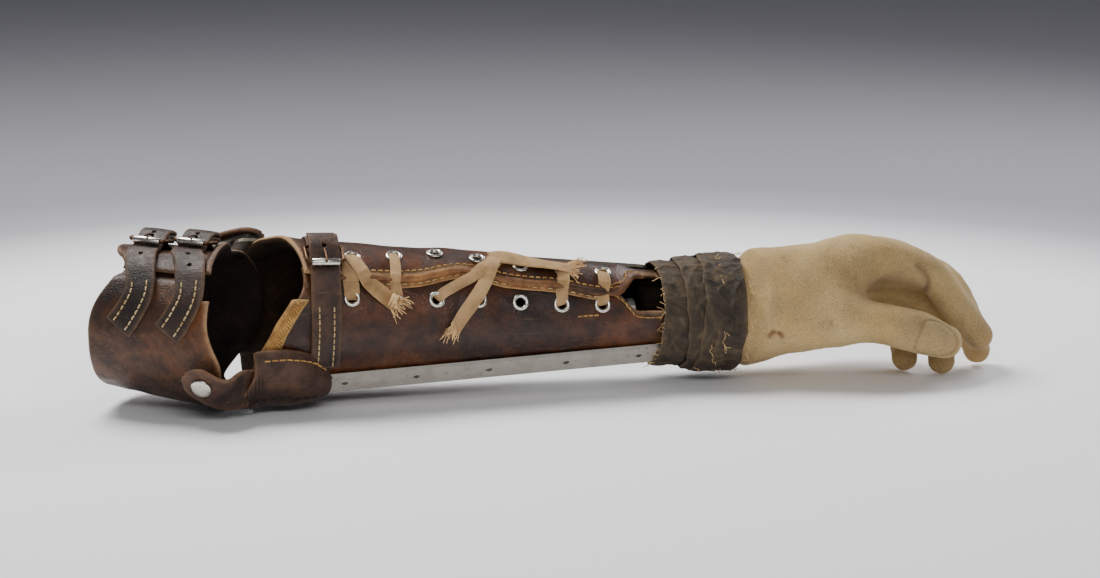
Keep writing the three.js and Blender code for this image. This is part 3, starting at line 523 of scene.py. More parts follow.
class Shader:
    """A new material's node tree, with short ways to add nodes."""

    def __init__(self, name):
        self.material = bpy.data.materials.new(name)
        self.material.use_nodes = True
        self.tree = self.material.node_tree
        self.surface = self.tree.nodes["Principled BSDF"]
        self.place = self.add("TexCoord").outputs["Object"]

    def add(self, kind, inputs=None, **settings):
        node = self.tree.nodes.new("ShaderNode" + kind)
        for key, value in settings.items():
            setattr(node, key, value)
        for key, value in (inputs or {}).items():
            self.feed(node.inputs[key], value)
        return node

    def feed(self, socket, value):
        if isinstance(value, bpy.types.NodeSocket):
            self.tree.links.new(value, socket)
        else:
            socket.default_value = value

    def set(self, **inputs):
        for key, value in inputs.items():
            self.feed(self.surface.inputs[key.replace("_", " ")], value)

    def stretched(self, scale, place=None):
        return self.add("Mapping", {"Vector": place or self.place, "Scale": scale}).outputs[0]

    def moved(self, offset):
        return self.add("Mapping", {"Vector": self.place, "Location": offset}).outputs[0]

    def noise(self, scale, detail=4.0, roughness=0.55, place=None, distortion=0.0):
        return self.add("TexNoise", {"Vector": place or self.place, "Scale": scale, "Detail": detail,
                                     "Roughness": roughness, "Distortion": distortion}).outputs[0]

    def cells(self, scale, place):
        return self.add("TexVoronoi", {"Vector": place, "Scale": scale}, feature="F1").outputs["Distance"]

    def bands(self, scale, distortion, way, place):
        return self.add("TexWave", {"Vector": place, "Scale": scale, "Distortion": distortion, "Detail": 2.0},
                        wave_type="BANDS", bands_direction=way).outputs["Fac"]

    def ramp(self, factor, stops):
        node = self.add("ValToRGB", {"Fac": factor})
        elements = node.color_ramp.elements
        while len(elements) < len(stops):
            elements.new(0.5)
        for element, (position, colour) in zip(elements, stops):
            element.position = position
            element.color = srgb(*colour)
        return node.outputs[0]

    def span(self, value, low, high, to_low=0.0, to_high=1.0):
        return self.add("MapRange", {"Value": value, "From Min": low, "From Max": high,
                                     "To Min": to_low, "To Max": to_high}).outputs[0]

    def blend(self, factor, a, b, mode="MIX"):
        inputs = {"Fac": factor, "Color1": tone(a), "Color2": tone(b)}
        return self.add("MixRGB", inputs, blend_type=mode).outputs[0]

    def tint(self, base, mask, low, high, amount, colour, mode="MIX"):
        """Lays a colour over the base as the mask goes from low to high, up to amount."""
        return self.blend(self.span(mask, low, high, 0.0, amount), base, colour, mode)

    def maths(self, operation, a, b=0.0):
        return self.add("Math", {0: a, 1: b}, operation=operation).outputs[0]

    def field(self, name, share=None):
        value = self.add("Attribute", attribute_name=name).outputs["Fac"]
        return value if share is None else self.maths("MULTIPLY", value, share)

    def bumps(self, *layers):
        """Layers are (height, distance in millimetres)."""
        normal = None
        for height, distance in layers:
            inputs = {"Height": height, "Strength": 1.0, "Distance": distance * MM}
            if normal is not None:
                inputs["Normal"] = normal
            normal = self.add("Bump", inputs).outputs[0]
        self.set(Normal=normal)


def leather(name, dark, middle, light, rim, gloss=0.42, grain=0.05, seed=0.0, scuffs=0.5):
    """Mottled, scratched leather that wears to the rim colour at its edges."""
    s = Shader(name)
    place = s.moved((seed, seed * 0.7, 0))
    colour = s.ramp(s.noise(24, 5, 0.6, place, 0.6), [(0.34, dark), (0.5, middle), (0.66, light)])
    mottle = s.noise(130, 4, 0.65, place)
    colour = s.tint(colour, mottle, 0.42, 0.62, 0.55, dark, "MULTIPLY")
    pores = s.cells(1500, place)
    fine = s.noise(900, 3, 0.6, place)
    colour = s.blend(s.span(pores, 0.0, 0.35, 0.35, 0.0), colour, dark)
    scratch = s.noise(60, 3, 0.7, s.stretched((0.5, 6, 6), place), 1.2)
    colour = s.tint(colour, scratch, 0.64, 0.7, scuffs, rim)
    worn = s.maths("MULTIPLY", s.field("rim"), s.span(s.noise(240, 3, 0.6, place), 0.3, 0.6, 0.35, 1.0))
    colour = s.blend(worn, colour, rim)
    rough = s.span(mottle, 0.35, 0.7, gloss, gloss + 0.22)
    rough = s.maths("ADD", rough, s.maths("MULTIPLY", worn, 0.3))
    s.set(Base_Color=colour, Roughness=rough, Specular_IOR_Level=0.42)
    crease = s.noise(70, 5, 0.6, place, 0.8)
    s.bumps((crease, 0.9), (pores, grain * 3), (fine, grain * 2.4))
    return s.material


def hide(name, dark, light):
    """Flesh side of leather: dull and fibrous."""
    s = Shader(name)
    colour = s.ramp(s.noise(45, 5, 0.65), [(0.35, dark), (0.7, light)])
    fibres = s.noise(700, 4, 0.7)
    colour = s.tint(colour, fibres, 0.35, 0.7, 0.5, dark, "MULTIPLY")
    colour = s.blend(s.field("rim", 0.7), colour, light)
    s.set(Base_Color=colour, Roughness=0.88, Specular_IOR_Level=0.2)
    s.bumps((fibres, 0.25))
    return s.material


def metal(name, colour, dull, rough, wear, brushed=(1, 1, 1), metallic=1.0):
    """Tarnished metal with small rust spots."""
    s = Shader(name)
    lines = s.noise(500, 3, 0.7, s.stretched(brushed))
    tarnish = s.noise(90, 6, 0.7)
    spots = s.noise(420, 3, 0.5)
    base = s.tint(colour, tarnish, 0.42, 0.68, wear, dull)
    base = s.tint(base, spots, 0.64, 0.72, 0.6, (70, 52, 38))
    polish = s.span(lines, 0.3, 0.7, rough - 0.07, rough + 0.12)
    polish = s.maths("ADD", polish, s.span(tarnish, 0.5, 0.7, 0.0, 0.2))
    s.set(Base_Color=base, Metallic=metallic, Roughness=polish)
    s.bumps((lines, 0.02), (tarnish, 0.12))
    return s.material


def woven(name, light, dark):
    """Flat woven cotton; the weave follows the sheet's own lengths in millimetres."""
    s = Shader(name)
    lengths = s.add("UVMap").outputs[0]
    warp = s.bands(0.75, 0.5, "Y", lengths)
    weft = s.bands(0.9, 1.0, "X", lengths)
    place = s.moved((0, 0, 0))
    fibre = s.noise(1500, 3, 0.7, place)
    colour = s.ramp(s.noise(90, 4, 0.6, place), [(0.35, dark), (0.65, light)])
    colour = s.blend(s.span(warp, 0.0, 0.6, 0.5, 0.0), colour, dark, "MULTIPLY")
    colour = s.blend(s.span(weft, 0.0, 0.5, 0.25, 0.0), colour, dark, "MULTIPLY")
    colour = s.tint(colour, fibre, 0.4, 0.75, 0.35, light)
    s.set(Base_Color=colour, Roughness=0.92, Specular_IOR_Level=0.15, Sheen_Weight=0.25, Sheen_Roughness=0.6)
    s.bumps((warp, 0.3), (weft, 0.12), (fibre, 0.12))
    return s.material


def thread(name, light, dark):
    s = Shader(name)
    twist = s.noise(1300, 3, 0.6)
    colour = s.ramp(s.noise(160, 4, 0.6), [(0.35, dark), (0.6, light)])
    colour = s.tint(colour, twist, 0.35, 0.7, 0.5, dark)
    s.set(Base_Color=colour, Roughness=0.75, Specular_IOR_Level=0.25, Sheen_Weight=0.2)
    s.bumps((twist, 0.15))
    return s.material


def taped_cloth(name):
    """Dark folded cloth with paler threads and edges."""
    s = Shader(name)
    folds = s.noise(60, 6, 0.65, s.stretched((1.0, 1.6, 0.7)), 1.6)
    weave = s.noise(1100, 3, 0.6, s.stretched((1, 1, 1)))
    pale_threads = s.noise(240, 3, 0.6, s.stretched((0.35, 2.0, 0.6)), 1.5)
    # Painted shade and light: the colour follows the fold pattern, darker in the hollows of the folds and
    # lighter on their crests.
    colour = s.ramp(folds, [(0.32, (44, 36, 29)), (0.5, (74, 63, 51)), (0.68, (110, 93, 72))])
    colour = s.tint(colour, pale_threads, 0.68, 0.76, 0.35, (140, 118, 88))
    colour = s.blend(s.field("rim", 0.6), colour, (128, 106, 80))
    colour = s.blend(s.span(weave, 0.35, 0.7, 0.35, 0.0), colour, (30, 25, 21))
    s.set(Base_Color=colour, Roughness=s.span(folds, 0.3, 0.7, 0.62, 0.9), Specular_IOR_Level=0.3)
    s.bumps((folds, 1.2), (weave, 0.16))
    return s.material


def felt(name):
    """Khaki felt skin with grey speckle, painted shade in its creases and nail groove, dirty spots and a few
    stains.
    """
    s = Shader(name)
    broad = s.noise(22, 4, 0.55)
    colour = s.ramp(broad, [(0.34, (160, 132, 88)), (0.5, (180, 152, 104)), (0.68, (196, 168, 120))])
    yellow = s.noise(38, 4, 0.6, s.stretched((1, 1.3, 0.8)))
    colour = s.tint(colour, yellow, 0.5, 0.7, 0.5, (200, 158, 92))
    grime = s.noise(17, 5, 0.6, s.moved((3, 1, 0)))
    colour = s.tint(colour, grime, 0.52, 0.7, 0.55, (122, 106, 82))
    speckle = s.noise(1250, 3, 0.75)
    colour = s.tint(colour, speckle, 0.52, 0.66, 0.62, (92, 82, 64))
    light_fleck = s.noise(1700, 2, 0.7, s.moved((1, 5, 2)))
    colour = s.tint(colour, light_fleck, 0.56, 0.68, 0.5, (214, 198, 160))
    # Painted shade darkens the finger creases and the thumbnail groove; the same field also holds real dirty
    # spots.
    colour = s.blend(s.field("soil_and_crease_shade", 0.7), colour, (92, 76, 58))
    colour = s.blend(s.field("stain", 0.85), colour, (98, 56, 34))
    s.set(Base_Color=colour, Roughness=0.95, Specular_IOR_Level=0.12, Sheen_Weight=0.35, Sheen_Roughness=0.55,
          Sheen_Tint=srgb(225, 210, 180))
    fuzz = s.noise(2300, 3, 0.7)
    s.bumps((s.noise(120, 4, 0.6), 0.35), (speckle, 0.16), (fuzz, 0.1))
    return s.material


def turned_wood(name):
    s = Shader(name)
    grain = s.noise(50, 5, 0.6, s.stretched((1, 12, 12)), 0.6)
    s.set(Base_Color=s.ramp(grain, [(0.3, (14, 10, 7)), (0.7, (30, 22, 15))]), Roughness=0.9,
          Specular_IOR_Level=0.05)
    s.bumps((grain, 0.2))
    return s.material


# Leathers are dark, middle, light and worn rim
SOCKET = leather("socket_leather_grain", (36, 19, 10), (70, 37, 17), (104, 57, 23), (170, 134, 94),
                 gloss=0.27, grain=0.045, scuffs=0.1)
CUFF_LEATHER = leather("cuff_leather_grain", (38, 21, 11), (72, 41, 18), (108, 62, 24), (172, 136, 98),
                       gloss=0.36, grain=0.06, seed=2.3, scuffs=0.25)
STRAP = leather("strap_leather_grain", (30, 18, 12), (52, 32, 20), (74, 46, 28), (124, 94, 70),
                gloss=0.4, seed=4.1)
TAB = leather("tab_leather_grain", (46, 29, 20), (78, 50, 35), (104, 68, 47), (148, 110, 82), seed=6.7)
COVER = leather("cover_leather_grain", (38, 25, 18), (66, 43, 31), (90, 60, 42), (134, 98, 70),
                gloss=0.45, grain=0.08, seed=8.9, scuffs=0.8)
BINDING = leather("binding_leather_grain", (104, 68, 30), (168, 120, 56), (198, 152, 82), (214, 180, 118),
                  gloss=0.6, grain=0.12, seed=1.3, scuffs=0.9)
ROLL = leather("rolled_edge_grain", (70, 42, 22), (136, 88, 46), (170, 118, 64), (186, 142, 92),
               gloss=0.4, grain=0.06, seed=5.2)
# Painted shade: the cuff's lining is coloured near black for the shade inside the cuff; its fibres and paler
# edges are its own.
SHADED_CUFF_LINING = hide("shaded_cuff_lining_hide", (14, 10, 8), (48, 36, 28))
SOCKET_LINING = hide("socket_lining_hide", (18, 12, 9), (74, 54, 38))
LENGTHWAYS = (1, 14, 14)
STEEL = metal("ground_steel", (222, 216, 204), (168, 158, 142), 0.36, 0.4, LENGTHWAYS, 0.7)
# Painted shade: a darker copy of the ground steel for the lateral side bar on the far side.
SHADED_LATERAL_BAR_STEEL = metal("shaded_far_steel", (132, 124, 112), (74, 64, 54), 0.45, 0.7, LENGTHWAYS)
NICKEL = metal("worn_nickel", (214, 210, 200), (150, 138, 118), 0.2, 0.5)
BROWN_WIRE = metal("browned_buckle_wire", (98, 72, 52), (52, 38, 30), 0.4, 0.7)
PIN_STEEL = metal("blackened_rivet_steel", (120, 114, 106), (60, 52, 44), 0.42, 0.7)
COTTON = woven("lace_cotton", (248, 206, 144), (196, 152, 96))
YELLOW_THREAD = thread("waxed_yellow_thread", (214, 170, 92), (150, 104, 46))
CREAM_THREAD = thread("waxed_cream_thread", (220, 196, 142), (164, 130, 80))
DARK_THREAD = thread("blackened_thread", (40, 28, 20), (16, 11, 9))
LACE_THREAD = thread("frayed_cotton", (246, 208, 150), (192, 150, 98))
TAPE = taped_cloth("wound_cloth_tape")
FELT = felt("hand_felt")
WOOD = turned_wood("turned_hardwood")


# ---- forearm surface --------------------------------------------------------------------------

def polar(x, alpha, radius):
    """Points round the forearm's axis; alpha is 0 at the front and grows to the medial side."""
    turn = np.radians(np.asarray(alpha, float))
    return np.stack(np.broadcast_arrays(x, -radius * np.sin(turn), radius * np.cos(turn)), -1)


def on_forearm(x, alpha, lift=0.0):
    x = np.asarray(x, float)
    return polar(x, alpha, ELBOW_RADIUS - TAPER * x + np.asarray(lift, float))


def out_forearm(alpha):
    return polar(0.0, alpha, 1.0)


def turned_alpha(alpha):
    return np.where(np.asarray(alpha, float) > 180, np.asarray(alpha, float) - 360, alpha)


def brim_at(alpha):
    """Where the socket starts: the brim rises at the front, less steeply on the lateral side."""
    turn = turned_alpha(alpha)
    spread = np.where(turn > 0, BRIM_SPREAD[MEDIAL], BRIM_SPREAD[LATERAL])
    share = np.where(np.abs(turn) < spread, (0.5 + 0.5 * np.cos(np.pi * turn / spread)) ** 1.4, 0)
    return BRIM_BACK + BRIM_RISE * share + BRIM_BULGE * bump(turn, 50, 17)


def lacing_line(x):
    return -2 - 12 * bump(x, 95, 19) + 8 * smoothstep(x, 141, 170)


def lateral_edge(x):
    """Edge of the flap on top, which turns away from the front to open the wrist hole."""
    return lacing_line(x) - WRIST_HOLE_TURN[LATERAL] * smoothstep(x, 176, 190)


def medial_edge(x):
    """Edge of the flap below, on the other side of the wrist hole."""
    return lacing_line(x) - FLAP_OVERLAP + WRIST_HOLE_TURN[MEDIAL] * smoothstep(x, 174, 190)


def flap_lift(x, alpha):
    """Height of the lateral flap over the medial one."""
    turn = turned_alpha(alpha)
    edge = lateral_edge(x)
    inside = np.where((turn <= 0) | (np.asarray(alpha) > 180), smoothstep(turn - edge, -62, -34), 0)
    return FLAP_LIFT * inside * (1 - smoothstep(x, 177, 193))


def eyelets():
    """(node, x, alpha, lift) of each eyelet."""
    spots = []
    for i in range(EYELET_COUNT):
        x = EYELET_START + EYELET_PITCH * i
        alpha = EYELET_TURN[MEDIAL] + 4 * float(smoothstep(i, 3, 5))
        spots.append((f"medial_eyelet_{i + 1}", x, alpha, 0.0))
        alpha = EYELET_TURN[LATERAL] - 14 * float(bump(x, 85, 28))
        spots.append((f"lateral_eyelet_{i + 1}", x + 1.8, alpha, float(flap_lift(x + 1.8, alpha))))
    return spots


def row_on_forearm(name, xs, alphas, lift, material, count=60, **options):
    """A row of stitches on the socket through the given places."""
    share = np.linspace(0, 1, count)
    line = curve(np.stack([xs, alphas, np.broadcast_to(lift, np.shape(xs))], 1).astype(float), share)
    row = stitch_row(on_forearm(line[:, 0], line[:, 1], line[:, 2]), out_forearm(line[:, 1]), **options)
    make(name, row, [material], "forearm", FOREARM)


def build_socket():
    """Rolled leather cone: raised brim, overlapping flaps, wrist hole and eyelet bores."""
    def surface(u, v):
        guess = mix(medial_edge(0.0), 360 + lateral_edge(0.0), u)
        x = mix(brim_at(guess), SOCKET_END, v)
        alpha = mix(medial_edge(x), 360 + lateral_edge(x), u)
        lift = np.where(u > 0.5, flap_lift(x, alpha), 0) - LEATHER / 2
        inward = x - brim_at(alpha)
        lateral_brim = np.where(turned_alpha(alpha) < 5, 1.0, 0.0)
        lift = lift + 1.6 * np.exp(-inward / 6) * lateral_brim
        corner = smoothstep(x, 178, 200)
        lift = lift + 2.2 * corner * np.exp(-u / 0.035) + 2.0 * corner * np.exp(-(1 - u) / 0.03)
        spot = on_forearm(x, alpha, lift)
        lift = lift + 0.3 * ripples(spot, 42, 11) + 0.12 * ripples(spot, 14, 12)
        return on_forearm(x, alpha, lift)

    def rim(u, v):
        brim = np.where((v < 0.5) & (u > 0.55), 3.0, 0.35)
        return np.where(v > 0.85, 0.8, brim)

    socket = sheet("forearm_leather", surface, (230, 215), (230, 120), LEATHER, FOREARM, "forearm",
                   "socket_leather", [SOCKET, SOCKET_LINING], edge=LEATHER_EDGE, rim=rim,
                   node="forearm_socket")
    bore = [(EYELET_BORE + 0.3, -6), (EYELET_BORE + 0.3, 4)]
    drill(socket, [lathe(bore, on_forearm(x, alpha, lift), out_forearm(alpha), 24)
                   for _, x, alpha, lift in eyelets()], FOREARM)


def build_binding():
    """Ochre leather folded over the medial brim, whip-stitched through."""
    section = np.array([[5.6, 0.5], [3.6, 1.1], [1.2, 1.5], [-0.9, 1.2], [-2.0, -0.2], [-2.1, -2.4],
                        [-1.0, -4.1], [1.2, -4.6], [5.0, -4.4]])

    def surface(u, v):
        alpha = mix(17.0, 79.0, u)
        cross = curve(section, v[0])
        wander = 0.5 * ripples(along_turn(alpha, 0.6), 9, 21)
        x = brim_at(alpha) + cross[None, :, 0] * (1 + 0.12 * wander)
        lift = cross[None, :, 1] + 0.25 * ripples(on_forearm(x, alpha), 7, 22)
        return on_forearm(x, alpha, lift)

    sheet("brim_binding_leather", surface, (44, 19), (70, 26), BINDING_LEATHER, FOREARM, "forearm",
          "binding_leather", [BINDING], edge=0.4, node="brim_binding")
    alphas = np.linspace(20, 76, 50)
    path = on_forearm(brim_at(alphas) + 2.4 + 0.4 * np.sin(alphas * 0.55), alphas, 1.9)
    row = stitch_row(path, out_forearm(alphas), 1.7, 4.4, 0.5, slant=2.2)
    make("brim_whip_stitches", row, [YELLOW_THREAD], "forearm", FOREARM)


def build_lacing_edge():
    """Rolled lip of the lateral flap, its stitches, and the stitched edge of the flap below."""
    xs = np.linspace(27, 193, 110)
    alphas = lateral_edge(xs)
    front = out_forearm(0.0)
    swell = 1.9 + 0.35 * np.sin(xs * 0.11) + 0.25 * np.sin(xs * 0.31 + 1)
    lift = flap_lift(xs, alphas + 360) - 1.2 + 1.4 * smoothstep(xs, 176, 192)
    points, faces = tube(on_forearm(xs, alphas + 1.0, lift), swell, 16, squash=0.8, guide=front)
    points = points + 0.15 * ripples(points, 6, 31)[:, None] * front
    make("lacing_rolled_lip", (points, faces), [ROLL], "forearm", FOREARM,
         "lacing_edge_roll")
    xs = np.linspace(34, 178, 60)
    alphas = lateral_edge(xs)
    row_on_forearm("lacing_lip_stitches", xs, alphas - 4.6, flap_lift(xs, alphas + 355) + 0.15,
                   YELLOW_THREAD, 160, pitch=3.6, length=2.5, radius=0.34)

    def surface(u, v):
        x = mix(44.0, 172.0, u)
        alpha = lacing_line(x) + mix(1.0, 8.5, v) - 1.5 * bump(x, 128, 14)
        lift = 0.55 + 0.5 * bump(v, 0.2, 0.4) + 0.12 * ripples(on_forearm(x, alpha), 8, 32)
        return on_forearm(x, alpha, lift)

    sheet("underlap_edge_strip", surface, (128, 4.6), (110, 9), BINDING_LEATHER, FOREARM, "forearm",
          "binding_leather", [ROLL], edge=0.5)
    xs = np.linspace(48, 170, 40)
    row_on_forearm("underlap_stitches", xs, lacing_line(xs) + 5.6 - 1.5 * bump(xs, 128, 14), 1.35,
                   CREAM_THREAD, 120, pitch=4.2, length=2.6, radius=0.3)


def build_wrist_opening_stitches():
    """Stitches round the wrist hole, and a short repair behind it."""
    xs = np.array([176, 180, 184, 188, 193, 198, 200.5])
    alphas = medial_edge(xs) + np.array([9.0, 8.0, 7.5, 8.0, 8.5, 8.5, 8.5])
    row_on_forearm("wrist_corner_stitches", xs, alphas, 1.1, YELLOW_THREAD, 50, pitch=3.0, length=2.2)
    row_on_forearm("repair_stitches", [155, 161, 168], [33, 32, 31.5], 0.1, YELLOW_THREAD, 20,
                   pitch=3.0, length=2.4, radius=0.45)
    xs = np.array([172, 180, 188, 196.0])
    alphas = lateral_edge(xs)
    row_on_forearm("wrist_lateral_stitches", xs, alphas - 6, flap_lift(xs, alphas + 354) + 0.6,
                   YELLOW_THREAD, 40, pitch=3.2, length=2.3)


def build_eyelets():
    profile = [(2.15, -3.2), (EYELET_BORE, -3.2), (EYELET_BORE, 0.1), (3.4, 0.12), (4.35, 0.15),
               (4.45, 0.45), (4.2, 0.85), (3.7, 1.1), (3.1, 1.1), (2.6, 0.75), (2.3, 0.2),
               (2.15, -0.6), (2.15, -3.2)]
    for node, x, alpha, lift in eyelets():
        make(node + "_ring", lathe(profile, on_forearm(x, alpha, lift + 0.15), out_forearm(alpha)),
             [NICKEL], "forearm", FOREARM, node)


# ---- laces ------------------------------------------------------------------------------------

def lace(name, turns, width, seed, node=None, count=60):
    """Lace over the socket: turns are (x, alpha, height above the flaps)."""
    x, alpha, lift = curve(turns, np.linspace(0, 1, count)).T
    lift = lift + np.where(alpha < lateral_edge(x) + 3, flap_lift(x, alpha), 0)
    lift = np.convolve(np.pad(lift, 3, "edge"), np.ones(7) / 7, "valid")
    centres = on_forearm(x, alpha, lift)
    way = unit(np.gradient(centres, axis=0))
    across = unit(np.cross(out_forearm(alpha), way))
    roll = LACE_SWING * np.sin(np.linspace(0, 5, count) + seed)
    across = across * np.cos(roll)[:, None] + np.cross(way, across) * np.sin(roll)[:, None]
    ribbon(name, centres, across, width, LACE_THICKNESS, FOREARM, "forearm", "lace", [COTTON], sag=0.35,
           edge=0.4, count=count * 2, node=node)
    return centres, across


def frayed_end(name, centres, across, seed, reach, count, width):
    """Threads that stand out of a lace's last centre."""
    random = np.random.default_rng(seed)
    end, side = centres[-1], across[-1]
    way = unit(centres[-1] - centres[-3])
    roots = [end - way * 1.5 + side * random.uniform(-0.5, 0.5) * width for _ in range(count)]
    ways = [way + side * (root - end) @ side * 0.12 + out_forearm(0.0) * random.uniform(-0.15, 0.3)
            for root in roots]
    make(name, threads(roots, ways, reach, 0.26, seed, 0.35), [LACE_THREAD], "forearm", FOREARM)


def knot(name, x, alpha, lift, size, seed, way):
    """Lumpy knot: short lace turns wound round one another."""
    origin = on_forearm(x, alpha, lift)
    out = out_forearm(alpha)
    way = np.asarray(way, float)
    way = unit(way - out * (way @ out))
    side = np.cross(out, way)
    random = np.random.default_rng(seed)
    turn = circle(20)[:, None]
    parts = []
    for _ in range(5):
        tilt = random.uniform(-0.7, 0.7)
        radius = size * random.uniform(0.75, 1.0)
        loop = out * np.cos(turn) * radius * 0.7 + unit(side + way * tilt) * np.sin(turn) * radius
        offset = way * random.uniform(-0.6, 0.6) * size
        parts.append(tube(origin + offset + loop, size * 0.34, 10, closed=True, squash=0.6, guide=way))
    make(name, merge(parts), [LACE_THREAD], "forearm", FOREARM)


# Laces: (name, turns, width, seed, CAD node)
LACES = (
    ("lace_proximal_rise", ((34.5, 16.5, -1.0), (34.6, 13, 0.9), (34.3, 4, 1.7), (34.0, -6, 1.7),
                            (34.6, -15, 1.3), (36, -21.5, -0.8)), 8.2, 2, None),
    ("lace_proximal_tail", ((36.5, -22, -0.8), (36, -17, 2.0), (38, -8, 3.2), (44, 4, 3.0),
                            (51, 13, 2.2), (58, 21, 1.9)), 8.2, 3, "lace_proximal"),
    ("lace_proximal_drop", ((58.7, -27.5, -0.8), (58.6, -22, 1.4), (58.2, -10, 1.6), (57.5, 2, 1.9),
                            (58.2, 14, 2.6)), 5.6, 4, None),
    ("lace_middle_rise", ((79.5, 15.5, -1.0), (81, 12.5, 1.2), (89, 4, 2.0), (99, -6, 2.3),
                          (108, -17, 2.6), (113, -24, 2.6)), 5.8, 5, "lace_middle"),
    ("lace_middle_tail", ((112, -24, 3.0), (110, -16, 4.2), (106, -2, 3.4), (100, 14, 2.2),
                          (93, 30, 1.8), (89, 40, 2.0)), 7.4, 6, None),
    ("lace_distal_band", ((110, -23, 3.4), (117, -27, 2.6), (128, -25, 2.0), (139, -22, 2.0),
                          (147, -19, 2.6), (153, -17, 2.4)), 8.6, 7, "lace_distal"),
)
# Frayed lace ends: seed, reach, number of threads and width
FRAYS = {"lace_proximal_tail": (5, 6.5, 34, 8), "lace_middle_tail": (8, 9.0, 34, 7),
         "lace_distal_band": (9, 7.5, 40, 9)}
# Knots: x, alpha, height, size, seed and way
KNOTS = {"proximal": (55.5, 17.5, 2.6, 3.2, 7, (1, -0.6, 0)),
         "middle": (111.5, -23, 3.4, 3.4, 10, (0.6, 1, 0)),
         "distal": (149.5, -17.5, 3.0, 3.6, 12, (1, 0, 0))}
# Eyelet row and upper end of each lace that crosses the opening
CROSSINGS = ((5, -20), (6, -21.5))


def build_laces():
    for name, turns, width, seed, node in LACES:
        centres, across = lace(name, turns, width, seed, node)
        if name in FRAYS:
            frayed_end(name.rsplit("_", 1)[0] + "_fray", centres, across, *FRAYS[name])
    for name, knot_values in KNOTS.items():
        knot(f"lace_{name}_knot", *knot_values)
    for i, (row, top) in enumerate(CROSSINGS):
        x = EYELET_START + EYELET_PITCH * row
        turns = ((x + 0.6, 19.5, -1.2), (x + 0.4, 17, 1.1), (x + 0.2, 8, 2.2), (x + 1.2, -3, 1.9),
                 (x + 1.6, -14, 1.5), (x + 1.8, top, -0.9))
        lace(f"lace_cross_{i + 1}", turns, 6.4, 8 + i)


# ---- side bars and joint cover ----------------------------------------------------------------

def on_bar(side, x, front, out):
    """Point from a side bar's own lengths: along it, towards the front, and away from the arm."""
    x, front, out = np.broadcast_arrays(np.asarray(x, float), front, out)
    lean = -side * math.atan(TAPER)
    y = side * out
    return np.stack([x * math.cos(lean) - y * math.sin(lean),
                     x * math.sin(lean) + y * math.cos(lean) + side * (ELBOW_RADIUS + BAR_LIFT), front], -1)


def bar_out(side):
    return on_bar(side, 0, 0, 1) - on_bar(side, 0, 0, 0)


def finish_node(node, material, width):
    """Material and rounded edges for a CAD node that stays in view."""
    obj = frame["nodes"][node]
    obj.data.materials.clear()
    obj.data.materials.append(material)
    bevel = obj.modifiers.new("edges", "BEVEL")
    bevel.width = width * MM
    bevel.segments = 2
    bevel.limit_method = "ANGLE"
    bevel.angle_limit = math.radians(40)


def build_bar_rivets(side, label):
    """Countersunk rivets, flush with the bar, with a darker upset centre."""
    profile = [(0.02, -1.2), (1.6, -1.2), (2.75, -0.1), (2.72, 0.02), (1.9, 0.05), (1.65, -0.25),
               (1.45, -0.22), (1.2, 0.2), (0.5, 0.3), (0.02, 0.3)]
    for i, x in enumerate(BAR_RIVETS[side]):
        origin = on_bar(side, x, 0, BAR_THICKNESS)
        points, faces = lathe(profile, origin, bar_out(side), 28)
        central = [int(np.linalg.norm(points[list(face)].mean(axis=0) - origin) < 1.7) for face in faces]
        make(f"{label}_bar_rivet_{i + 1}_head", (points, faces), [STEEL, PIN_STEEL], "forearm",
             FOREARM, f"{label}_bar_rivet_{i + 1}", central)


# Cover section over the pivot: (away from the arm, towards the front), and how it narrows along x
COVER_LINE = np.array([[-6.0, 28.6], [-1.0, 26.6], [4.2, 22.5], [8.2, 14.5], [9.6, 7.0], [9.6, 0.0],
                       [8.0, -4.6], [4.6, -8.0], [1.5, -9.5]])
COVER_START = -24.0
COVER_END = 24.5
COVER_TOP = ((-24, 1.0), (0, 0.97), (8, 0.87), (15, 0.7), (20, 0.5), (25, 0.3))
COVER_BOTTOM = ((-24, 0.5), (-12, 0.9), (8, 1.0), (18, 0.85), (23, 0.6), (26, 0.3))
# Stitched rows: place over the section, part of the length, and the stitches
COVER_ROWS = {"top": (0.11, (0.12, 0.93), YELLOW_THREAD, {"pitch": 3.9, "length": 3.0, "radius": 0.42}),
              "bottom": (0.61, (0.08, 0.9), DARK_THREAD, {"pitch": 4.4, "length": 2.9, "radius": 0.4})}


def cover_point(u, v):
    """Middle of the cover leather: u runs from its open end to its closed end, v over it."""
    cross = curve(COVER_LINE, np.atleast_2d(v)[0])
    out, front = cross[None, :, 0], cross[None, :, 1]
    start = COVER_START + 7 * smoothstep(front, 8, 26)
    x = mix(start, COVER_END, u)
    top = np.interp(x, *np.array(COVER_TOP).T)
    bottom = np.interp(x, *np.array(COVER_BOTTOM).T)
    front = front * mix(bottom, top, smoothstep(front, -4, 4))
    rise = np.sqrt(1 - np.clip((x - COVER_END + 15) / 15, 0, 1) ** 2)
    hug = np.sqrt(43.0 ** 2 - front ** 2) - 40.6
    hug = mix(3.3, hug, smoothstep(np.abs(front), 7, 12))
    mouth = 1 - smoothstep(x, -19, -13)
    out = mix(hug, out, rise) + 1.2 * mouth * smoothstep(front, 0, 4)
    pleats = bump(x, start + 4.5, 3.6) * np.sin(x * 3.1 + 0.06 * front) * smoothstep(out, 2, 7)
    spot = np.stack(np.broadcast_arrays(x, front, out), -1)
    out = out + 0.55 * pleats + 0.35 * ripples(spot, 17, 41) * smoothstep(out, 1, 6)
    seam = bump(out - hug, 1.5, 1.2)
    return on_bar(MEDIAL, x, front, out - 0.2 * seam)


